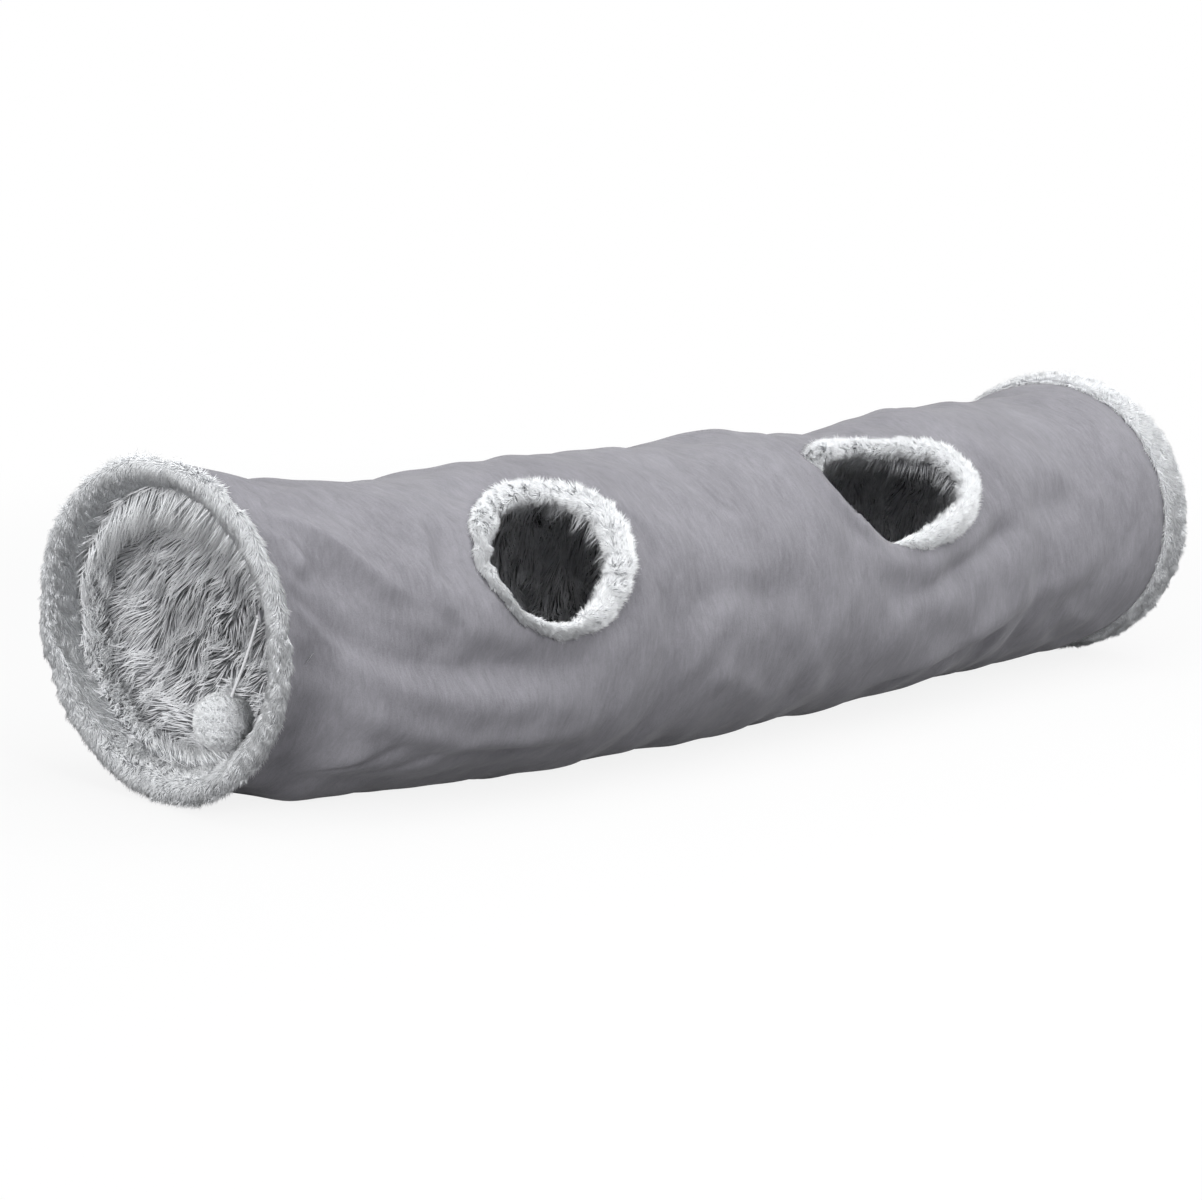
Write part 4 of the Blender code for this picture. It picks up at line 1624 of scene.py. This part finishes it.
@dataclass(frozen=True)
class WindowTrim:
    """Plush ring round a window, lying on the cloth of its bay.

    Attributes:
        tube: The tube.
        window: The window.
        width: Width of the ring where it is widest.
        narrow_share: Share of that width that it has where it is narrowest.
        widest: Where round the window it is widest.
        crown: How far it stands out from the shell.
        deep: How far it reaches inwards.
        sway: How uneven it is.
        sway_size: Usual size of its lumps.
        steps: How many parts it has round the window.
        section_steps: How many parts its section has.
        pile: How its plush stands.
        gap: Distance between tufts.
        reach: How far outside the window the rays start that look for the shell.
        tucked: Where round the window it sinks behind the fold.
    """

    tube: Tube
    window: Window
    width: float = 0.0170
    narrow_share: float = 0.15
    widest: float = math.radians(45)
    crown: float = 0.0048
    deep: float = 0.0110
    sway: float = 0.0009
    sway_size: float = 0.03
    steps: int = 150
    section_steps: int = 16
    pile: Pile = Pile(
        length=0.0090,
        width=0.0010,
        stand=0.32,
        lay_round=0.46,
        lay_across=0.02,
        droop=0.14,
        hang=0.06,
        clump=0.30,
        clump_size=0.010,
        bends=1,
        stray=0.24,
    )
    gap: float = 0.00106
    reach: float = 0.05
    tucked: float = math.radians(205)

    def _width_share(self, turn: Array) -> Array:
        """Width of the ring at angles round the window, as a share of the widest.

        Args:
            turn: The angles.

        Returns:
            The shares.
        """
        wide_share = eased(np.cos(turn - self.widest), -1.1, -0.1)
        return self.narrow_share + (1 - self.narrow_share) * wide_share

    def _points(self, skin: BVHTree, turns: Array, rounds: Array) -> Array:
        """Points of the ring: first round the window, then round its section.

        Args:
            skin: The uncut shell.
            turns: Angles round the window.
            rounds: Angles round the section, 0 at the outer rim and growing over the top.

        Returns:
            A grid of points.
        """
        middle, long_axis, up_axis, out = self.tube.window_axes(self.window)
        grid = np.zeros((len(turns), len(rounds), 3))
        for i, turn in enumerate(turns):
            width = self.width * float(self._width_share(turn))
            sunk = self.window.tuck * float(eased(np.cos(turn - self.tucked), 0.25, 0.75))
            for j, lap in enumerate(rounds):
                inset = width * (0.5 - 0.5 * math.cos(lap))
                side = long_axis * (self.window.length / 2 - inset) * math.cos(turn)
                side = side + up_axis * (self.window.height / 2 - inset) * math.sin(turn)
                hit = skin.ray_cast(middle + side + out * self.reach, -out)[0]
                rise = math.sin(lap)
                rise *= self.crown if rise > 0 else self.deep
                grid[i, j] = hit + out * (rise - sunk)
        lumps = wander(grid.reshape(-1, 3), self.sway_size, 31).reshape(grid.shape)
        return grid + lumps * self.sway

    def build(self, skin: BVHTree, finish: PlushFinish, effects: Effects) -> None:
        """Build the trim and its pile.

        Args:
            skin: The uncut shell that it lies on.
            finish: Finish of the plush.
            effects: The shared shader groups.
        """
        name = self.window.name + "_trim"
        columns, rows = self.steps, self.section_steps
        points = self._points(
            skin,
            np.linspace(0, TURN, columns, endpoint=False),
            np.linspace(0, TURN, rows, endpoint=False),
        )
        bm = bmesh.new()
        bmesh.ops.create_grid(bm, x_segments=columns, y_segments=rows, size=0.5)
        for vert in bm.verts:
            column = round((vert.co.x + 0.5) * columns) % columns
            row = round((vert.co.y + 0.5) * rows) % rows
            vert.co = points[column, row]
        bmesh.ops.remove_doubles(bm, verts=bm.verts, dist=1e-6)
        ring = finish_piece(mesh_of(bm, name + "_ring"), name + "_ring", finish.backing())
        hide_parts(name)
        self.tube.fold_with_bay(ring, self.window.bay)

        girth = math.pi * (self.width + self.crown)
        length = math.pi * (self.window.length + self.window.height) / 2
        columns, rows = round(length / self.gap), round(girth / self.gap)
        points = self._points(
            skin,
            np.linspace(0, TURN, columns, endpoint=False),
            np.linspace(-0.25 * math.pi, 1.25 * math.pi, rows),
        )
        core = np.broadcast_to(points.mean(axis=1, keepdims=True), points.shape)
        bed = Bed.of_grid(points, core, False, 70 + self.window.bay)
        middle, long_axis, up_axis, _ = self.tube.window_axes(self.window)
        tufts = wander(bed.roots, 0.016, 80 + self.window.bay)[:, 0]
        away = bed.roots - np.array(middle)
        turn = np.arctan2(away @ np.array(up_axis), away @ np.array(long_axis))
        lengths = 0.50 + 0.52 * self._width_share(turn) + 0.9 * eased(tufts, 0.95, 1.6)
        mesh = self.pile.grow(bed, name + "_pile", 140 + self.window.bay, lengths)
        fur = finish_piece(mesh, name + "_pile", finish.pile(effects))
        self.tube.fold_with_bay(fur, self.window.bay)


@dataclass(frozen=True)
class HangingPompom:
    """The pompom, its cord, the knot and the tape that holds them.

    Attributes:
        tube: The tube.
        bore: Inner radius of the near trim.
        clearance: Gap between the trim, the tape, the knot, the cord and the pompom.
        pompom_radius: Radius of the pompom.
        pompom_angle: Where round the mouth it hangs.
        pompom_clearance: Gap between it and the trim.
        core_share: Share of its radius that its core has.
        core_lumps: Sizes, heights and seeds of the core's lumps.
        pile: How its plush stands.
        tufts: How many tufts it has.
        scatter: How unevenly they are spread.
        root_share: Share of the core's radius where they start.
        cord_radius: Radius of the cord.
        cord_rings: How many rings of points it has along its line.
        plies: How many plies are twisted round each other.
        ply_sides: How many sides each ply adds to the section.
        ply_groove: Depth of the grooves between plies, as a share of the radius.
        pitch: Length of one turn of the twist.
        knot_radius: Radius of the knot.
        knot_points: How many points its line has.
        thread_share: Share of the cord's radius that its loops have.
        tab_angle: Where round the mouth the tape is sewn.
        tab_thickness: Thickness of the folded tape.
        tab_width: Its width along the tunnel.
        tab_length: Its length round the mouth.
        tab_round: How far its edges are rounded.
        route: Line of the cord, as distances down from the knot and to the side.
    """

    tube: Tube
    bore: float = 0.125
    clearance: float = 0.0003
    pompom_radius: float = 0.025
    pompom_angle: float = math.radians(222)
    pompom_clearance: float = 0.0004
    core_share: float = 0.9
    core_lumps: tuple[tuple[float, float, int], ...] = ((0.012, 0.0005, 21), (0.004, 0.0003, 22))
    pile: Pile = Pile(
        length=0.0044, width=0.0009, stand=0.62, clump=0.85, clump_size=0.0058, bends=1, stray=0.35
    )
    tufts: int = 19000
    scatter: float = 0.012
    root_share: float = 0.99
    cord_radius: float = 0.0015
    cord_rings: int = 170
    plies: int = 3
    ply_sides: int = 10
    ply_groove: float = 0.10
    pitch: float = 0.011
    knot_radius: float = 0.002
    knot_points: int = 72
    thread_share: float = 0.62
    tab_angle: float = math.radians(165)
    tab_thickness: float = 0.0025
    tab_width: float = 0.007
    tab_length: float = 0.010
    tab_round: float = 0.0004
    route: tuple[tuple[float, float], ...] = (
        (0.0000, 0.0000),
        (0.0060, 0.0002),
        (0.0120, 0.0005),
        (0.0180, 0.0008),
        (0.0240, 0.0011),
        (0.0300, 0.0013),
        (0.0360, 0.0014),
        (0.0420, 0.0014),
        (0.0480, 0.0013),
        (0.0540, 0.0011),
        (0.0600, 0.0008),
        (0.0660, 0.0005),
        (0.0710, 0.0002),
    )

    def _inner(self) -> float:
        """Radius of the flat of the trim's inner face."""
        return self.bore * self.tube.flat

    def _knot(self) -> Vector:
        """Middle of the knot."""
        ring = self._inner() - 2 * self.clearance - self.tab_thickness - self.knot_radius
        return Vector(self.tube.ring_point(0, 0.0, ring, self.tab_angle))

    def _pompom(self) -> Vector:
        """Middle of the pompom."""
        ring = self._inner() - self.pompom_clearance - self.pompom_radius
        return Vector(self.tube.ring_point(0, 0.0, ring, self.pompom_angle))

    def spare(self, bed: Bed, reach: float) -> Bed:
        """Leave out the tufts of a bed that would grow into the pompom.

        Args:
            bed: The bed.
            reach: How far its tufts reach from it.

        Returns:
            What is left of the bed.
        """
        to_ball = np.array(self._pompom()) - bed.roots
        share = np.clip(np.sum(to_ball * bed.normals, axis=1), 0, reach)[:, None]
        away = np.linalg.norm(to_ball - bed.normals * share, axis=1)
        return bed.keep(away > self.pompom_radius)

    def _route(self) -> list[Vector]:
        """Lay the cord's line.

        Returns:
            Its points, from the knot to the pompom.
        """
        knot, pompom = self._knot(), self._pompom()
        down = (pompom - knot).normalized()
        side = down.cross(Vector(self.tube.along))
        start = knot + down * (self.knot_radius + self.clearance)
        end = pompom - down * (self.pompom_radius + self.clearance)
        return [start + down * d + side * s for d, s in self.route] + [end]

    def _build_cord(self, material: bpy.types.Material) -> None:
        """Build the cord as plies twisted round each other.

        Args:
            material: Its material.
        """
        corners = np.array(self._route())
        run = np.concatenate([[0], np.cumsum(np.linalg.norm(np.diff(corners, axis=0), axis=1))])
        at = np.linspace(0, run[-1], self.cord_rings)
        line = np.stack([np.interp(at, run, corners[:, k]) for k in range(3)], 1)
        ahead = unit(np.gradient(line, axis=0))
        side = unit(np.cross(ahead, self.tube.along))
        other = np.cross(ahead, side)
        sides = self.ply_sides * self.plies
        bm = bmesh.new()
        bmesh.ops.create_cone(
            bm, cap_ends=True, segments=sides, radius1=self.cord_radius, radius2=self.cord_radius, depth=1
        )
        for k in range(1, len(at) - 1):
            geom = bm.verts[:] + bm.edges[:] + bm.faces[:]
            cut = (0, 0, k / (len(at) - 1) - 0.5)
            bmesh.ops.bisect_plane(bm, geom=geom, plane_co=cut, plane_no=(0, 0, 1))
        for vert in bm.verts:
            k = round((vert.co.z + 0.5) * (len(at) - 1))
            turn = math.atan2(vert.co.y, vert.co.x)
            lobe = abs(math.cos(self.plies / 2 * turn))
            radius = self.cord_radius * (1 - self.ply_groove + self.ply_groove * lobe)
            turn += TURN * at[k] / self.pitch
            vert.co = line[k] + (side[k] * math.cos(turn) + other[k] * math.sin(turn)) * radius
        cord = finish_piece(mesh_of(bm, "pompom_cord_yarn"), "pompom_cord_yarn", material)
        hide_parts("pompom_cord")
        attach(cord, Body.POMPOM.value)

    def _build_knot(self, material: bpy.types.Material) -> None:
        """Build the knot as a looped thread.

        Args:
            material: Its material.
        """
        middle = self._knot()
        curve = bpy.data.curves.new("cord_knot_loops", "CURVE")
        curve.dimensions = "3D"
        thread = self.cord_radius * self.thread_share
        curve.bevel_depth = thread
        curve.bevel_resolution = 3
        spline = curve.splines.new("POLY")
        spline.points.add(self.knot_points - 1)
        spline.use_cyclic_u = True
        size = (self.knot_radius - thread * 0.4) / 3
        for k, point in enumerate(spline.points):
            t = TURN * k / self.knot_points
            loop = Vector(
                (
                    math.sin(t) + 2 * math.sin(2 * t),
                    math.cos(t) - 2 * math.cos(2 * t),
                    -math.sin(3 * t) * 1.2,
                )
            )
            point.co = (*(middle + loop * size), 1)
        made = bpy.data.objects.new("knot_curve", curve)
        bpy.context.collection.objects.link(made)
        depsgraph = bpy.context.evaluated_depsgraph_get()
        mesh = bpy.data.meshes.new_from_object(made.evaluated_get(depsgraph))
        bpy.data.objects.remove(made)
        mesh.name = "cord_knot_loops"
        mesh.materials.clear()
        mesh.shade_smooth()
        knot = finish_piece(mesh, "cord_knot_loops", material)
        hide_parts("cord_knot")
        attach(knot, Body.CORD_KNOT.value)

    def _build_tab(self, material: bpy.types.Material) -> None:
        """Build the folded tape, sewn flat to the trim.

        Args:
            material: Its material.
        """
        radial = np.cos(self.tab_angle) * self.tube.across - np.sin(self.tab_angle) * DOWN
        round_it = np.cross(self.tube.along, radial)
        bm = bmesh.new()
        bmesh.ops.create_cube(bm, size=1)
        bmesh.ops.subdivide_edges(bm, edges=bm.edges, cuts=7, use_grid_fill=True)
        for vert in bm.verts:
            x, y, z = vert.co
            bulge = 1 - 0.35 * (2 * y) ** 4
            groove = 1 - 0.18 * math.exp(-(((abs(y) - 0.33) / 0.05) ** 2))
            vert.co = (x * self.tab_thickness * bulge * groove, y * self.tab_length, z * self.tab_width)
        bmesh.ops.bevel(
            bm,
            geom=[e for e in bm.edges if e.calc_face_angle(0) > 1.0],
            offset=self.tab_round,
            offset_type="OFFSET",
            segments=2,
            profile=0.5,
            affect="EDGES",
            material=-1,
        )
        box = Matrix((Vector(radial), Vector(round_it), Vector(self.tube.along))).transposed().to_4x4()
        ring = self._inner() - self.clearance - self.tab_thickness / 2
        box.translation = Vector(self.tube.ring_point(0, 0.0, ring, self.tab_angle))
        bm.transform(box)
        tab = finish_piece(mesh_of(bm, "cord_tab_tape"), "cord_tab_tape", material)
        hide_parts("cord_tab")
        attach(tab, Body.NEAR_MOUTH.value)

    def _build_pompom(self, finish: PlushFinish, effects: Effects) -> None:
        """Build the pompom's core and its pile.

        Args:
            finish: Its finish.
            effects: The shared shader groups.
        """
        middle = np.array(self._pompom())
        core = self.pompom_radius * self.core_share
        bm = bmesh.new()
        bmesh.ops.create_icosphere(bm, subdivisions=5, radius=core)
        for vert in bm.verts:
            place = np.array(vert.co)
            lump = sum(wander(place[None], size, seed)[0] * high for size, high, seed in self.core_lumps)
            vert.co = place + lump + middle
        ball = finish_piece(mesh_of(bm, "pompom_core"), "pompom_core", finish.backing())
        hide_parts("pompom")
        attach(ball, Body.POMPOM.value)
        k = np.arange(self.tufts) + 0.5
        height, turn = 1 - 2 * k / self.tufts, k * math.pi * (3 - math.sqrt(5))
        level = np.sqrt(1 - height * height)
        out = np.stack([level * np.cos(turn), level * np.sin(turn), height], 1)
        out = unit(out + np.random.default_rng(161).normal(scale=self.scatter, size=out.shape))
        round_it = unit(np.cross(out, self.tube.along))
        bed = Bed(middle + out * core * self.root_share, out, round_it, np.cross(out, round_it))
        mesh = self.pile.grow(bed, "pompom_pile", 160)
        fur = finish_piece(mesh, "pompom_pile", finish.pile(effects))
        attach(fur, Body.POMPOM.value)

    def build(
        self, cord: bpy.types.Material, tape: bpy.types.Material, finish: PlushFinish, effects: Effects
    ) -> None:
        """Build every piece of the toy.

        Args:
            cord: Material of the cord and the knot.
            tape: Material of the tape.
            finish: Finish of the pompom.
            effects: The shared shader groups.
        """
        self._build_cord(cord)
        self._build_knot(cord)
        self._build_tab(tape)
        self._build_pompom(finish, effects)


@dataclass(frozen=True)
class Hardware:
    """Wires, ferrules and casings, which keep their CAD shape and get real finishes."""

    def dress(self, steel: bpy.types.Material, tape: bpy.types.Material) -> None:
        """Give each hidden piece its finish.

        Args:
            steel: Material of the wires and ferrules.
            tape: Material of the casings.
        """
        for name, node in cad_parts.items():
            if name.endswith(("_wire", "_ferrule")):
                chosen, slot = steel, Slot.STEEL
            elif name.endswith("_casing"):
                chosen, slot = tape, Slot.TAPE
            else:
                continue
            node.data.materials.clear()
            node.data.materials.append(chosen)
            LOG.info("%s: dressed", name)


@dataclass(frozen=True)
class Studio:
    """Pale floor, soft light and the camera.

    Attributes:
        tube: The tube.
        picture: Width of the photograph in pixels.
        focal: Focal length in the same pixels.
        sensor: Width of the sensor in millimetres.
        offset: Place of the camera, from the middle of the near mouth.
        yaw: How far the camera is turned from looking along +Y.
        pitch: How far it looks down.
        roll: How far it is tilted.
        floor_gap: How far below the tunnel the floor lies.
        floor_size: Length of its sides.
        floor_colour: Its colour where it is seen.
        floor_bounce: Its colour where it lights the tunnel.
        floor_fade: How far out it starts to turn white, and is white.
        lamps: Name, place, size and power of each lamp.
        lamp_aim: Where the lamps look.
        room_light: Strength of the even light.
    """

    tube: Tube
    picture: float = 1202.0
    focal: float = 2668.5
    sensor: float = 36.0
    offset: tuple[float, float, float] = (-1.0936, -1.9538, 0.5312)
    yaw: float = 0.6776
    pitch: float = 0.2197
    roll: float = 0.0308
    floor_gap: float = 0.0006
    floor_size: float = 30.0
    floor_colour: Colour = (0.64, 0.64, 0.64)
    floor_bounce: Colour = (0.20, 0.20, 0.205)
    floor_fade: tuple[float, float] = (0.7, 1.6)
    lamps: tuple[tuple[str, tuple[float, float, float], float, float], ...] = (
        ("top_light", (0.1, -0.6, 2.2), 2.0, 36.0),
        ("front_light", (0.1, -2.5, 1.8), 1.6, 42.0),
        ("mouth_light", (-3.2, -0.8, 1.2), 1.8, 76.0),
        ("end_light", (2.6, -1.2, 1.3), 1.8, 22.0),
    )
    lamp_aim: tuple[float, float, float] = (0.0, 0.0, 0.15)
    room_light: float = 0.38

    def _camera(self) -> None:
        """Place the camera where the photograph was taken from."""
        made = bpy.data.cameras.new("camera")
        made.sensor_width = self.sensor
        made.lens = self.focal / self.picture * self.sensor
        made.clip_end = 100
        camera = bpy.data.objects.new("camera", made)
        bpy.context.collection.objects.link(camera)
        level = math.cos(self.pitch)
        ahead = Vector((level * math.sin(self.yaw), level * math.cos(self.yaw), -math.sin(self.pitch)))
        plain = Vector((math.cos(self.yaw), -math.sin(self.yaw), 0))
        right = plain * math.cos(self.roll) + plain.cross(ahead) * math.sin(self.roll)
        turned = Matrix((right, right.cross(ahead), -ahead)).transposed().to_4x4()
        turned.translation = Vector(self.tube.hoop_centre(0)) + Vector(self.offset)
        camera.matrix_world = turned
        bpy.context.scene.camera = camera

    def _lamp(self, name: str, place: Vector, size: float, power: float) -> None:
        """Add a square soft lamp that looks at the tunnel.

        Args:
            name: Its name.
            place: Its place.
            size: Length of its sides.
            power: Its power in watts.
        """
        made = bpy.data.lights.new(name, "AREA")
        made.size, made.energy = size, power
        lamp = bpy.data.objects.new(name, made)
        bpy.context.collection.objects.link(lamp)
        lamp.location = place
        aim = Vector(self.lamp_aim) - place
        lamp.rotation_euler = aim.to_track_quat("-Z", "Y").to_euler()

    def _seen_directly(self, tree: bpy.types.NodeTree) -> tuple[bpy.types.Node, bpy.types.Node]:
        """Add nodes that tell whether the camera sees a place, itself or in a gloss.

        Args:
            tree: The tree.

        Returns:
            The light path, and the node that puts out 1 where the place is seen.
        """
        path = add_node(tree, "ShaderNodeLightPath")
        seen = add_node(tree, "ShaderNodeMath", operation="MAXIMUM")
        tree.links.new(path.outputs["Is Camera Ray"], seen.inputs[0])
        tree.links.new(path.outputs["Is Glossy Ray"], seen.inputs[1])
        return path, seen

    def _floor(self) -> None:
        """Lay a white floor that keeps a faint shadow."""
        bm = bmesh.new()
        bmesh.ops.create_grid(bm, x_segments=1, y_segments=1, size=self.floor_size / 2)
        bmesh.ops.translate(bm, verts=bm.verts, vec=(0, 0, -self.floor_gap))
        mesh = mesh_of(bm, "studio_floor")
        made, tree, shader, places = new_material("studio_white", {"Roughness": 0.9})
        white = add_node(tree, "ShaderNodeEmission", {"Color": (1, 1, 1, 1), "Strength": 1.0})
        _, seen = self._seen_directly(tree)
        colour = mixed_colour(tree, seen.outputs[0], self.floor_bounce, self.floor_colour)
        tree.links.new(colour, shader.inputs["Base Color"])
        away = add_node(tree, "ShaderNodeVectorMath", operation="LENGTH")
        tree.links.new(places["Object"], away.inputs[0])
        near, far = self.floor_fade
        plain = add_node(
            tree,
            "ShaderNodeMapRange",
            {"From Min": near, "From Max": far, "To Min": 0.86, "To Max": 1.0},
            interpolation_type="SMOOTHSTEP",
        )
        tree.links.new(away.outputs["Value"], plain.inputs["Value"])
        share = add_node(tree, "ShaderNodeMath", operation="MULTIPLY")
        tree.links.new(seen.outputs[0], share.inputs[0])
        tree.links.new(plain.outputs[0], share.inputs[1])
        mix = add_node(tree, "ShaderNodeMixShader")
        tree.links.new(share.outputs[0], mix.inputs["Fac"])
        tree.links.new(shader.outputs[0], mix.inputs[1])
        tree.links.new(white.outputs[0], mix.inputs[2])
        output = next(n for n in tree.nodes if n.type == "OUTPUT_MATERIAL")
        tree.links.new(mix.outputs[0], output.inputs["Surface"])
        mesh.materials.append(made)
        floor = bpy.data.objects.new("studio_floor", mesh)
        bpy.context.collection.objects.link(floor)

    def _world(self) -> None:
        """Light the room evenly and show it white."""
        world = bpy.data.worlds.new("studio")
        bpy.context.scene.world = world
        world.use_nodes = True
        tree = world.node_tree
        tree.nodes.clear()
        path, seen = self._seen_directly(tree)
        more = add_node(tree, "ShaderNodeMath", operation="MAXIMUM")
        tree.links.new(seen.outputs[0], more.inputs[0])
        tree.links.new(path.outputs["Is Transmission Ray"], more.inputs[1])
        dim = {"Color": (0.98, 0.99, 1.0, 1), "Strength": self.room_light}
        room = add_node(tree, "ShaderNodeBackground", dim)
        white = add_node(tree, "ShaderNodeBackground", {"Color": (1, 1, 1, 1), "Strength": 1.0})
        mix = add_node(tree, "ShaderNodeMixShader")
        tree.links.new(more.outputs[0], mix.inputs["Fac"])
        tree.links.new(room.outputs[0], mix.inputs[1])
        tree.links.new(white.outputs[0], mix.inputs[2])
        output = add_node(tree, "ShaderNodeOutputWorld")
        tree.links.new(mix.outputs[0], output.inputs["Surface"])

    def build(self) -> None:
        """Build the camera, the lamps, the floor and the world."""
        self._camera()
        for name, place, size, power in self.lamps:
            self._lamp(name, Vector(place), size, power)
        self._floor()
        self._world()
        bpy.context.scene.view_settings.view_transform = "Standard"


def main() -> None:
    """Build the whole tunnel and its studio."""
    logging.basicConfig(level=logging.INFO, format="%(name)s: %(message)s")
    tube = Tube()
    effects = Effects()
    Studio(tube).build()
    suede = ClothFinish(
        "suede_cloth", (0.145, 0.142, 0.157), (0.268, 0.264, 0.288), 0.88, 0.12, 900.0, 0.0006
    ).material(effects)
    tape = ClothFinish(
        "woven_tape", (0.26, 0.26, 0.28), (0.42, 0.42, 0.44), 0.9, 0.05, 1600.0, 0.0003
    ).material(effects)
    steel = SteelFinish("spring_steel", (0.52, 0.52, 0.54)).material()
    cord = CordFinish("cotton_cord", (0.50, 0.50, 0.51), (0.80, 0.81, 0.83)).material()
    # The lining is the same light plush as the fringe, given greyer colours here as painted shade for the dim
    # inside of the tunnel.
    lining = PlushFinish("lining_plush_shaded", (0.55, 0.55, 0.57), (0.88, 0.89, 0.91), 0.24)
    trim = PlushFinish("trim_plush", (0.70, 0.71, 0.73), (0.93, 0.945, 0.96), 0.20, 0.9)
    pompom = PlushFinish("pompom_plush", (0.78, 0.79, 0.81), (0.94, 0.955, 0.97), 0.12)

    toy = HangingPompom(tube)
    skins = ClothTube(tube, toy).build(suede, lining, trim, effects)
    near_mouth_trim(tube, toy).build("near_mouth_trim", trim, effects)
    far_mouth_trim(tube, toy).build("far_mouth_trim", trim, effects)
    for window in tube.windows:
        WindowTrim(tube, window).build(skins[window.bay], trim, effects)
    toy.build(cord, tape, pompom, effects)
    Hardware().dress(steel, tape)


if __name__ == "__main__":
    main()
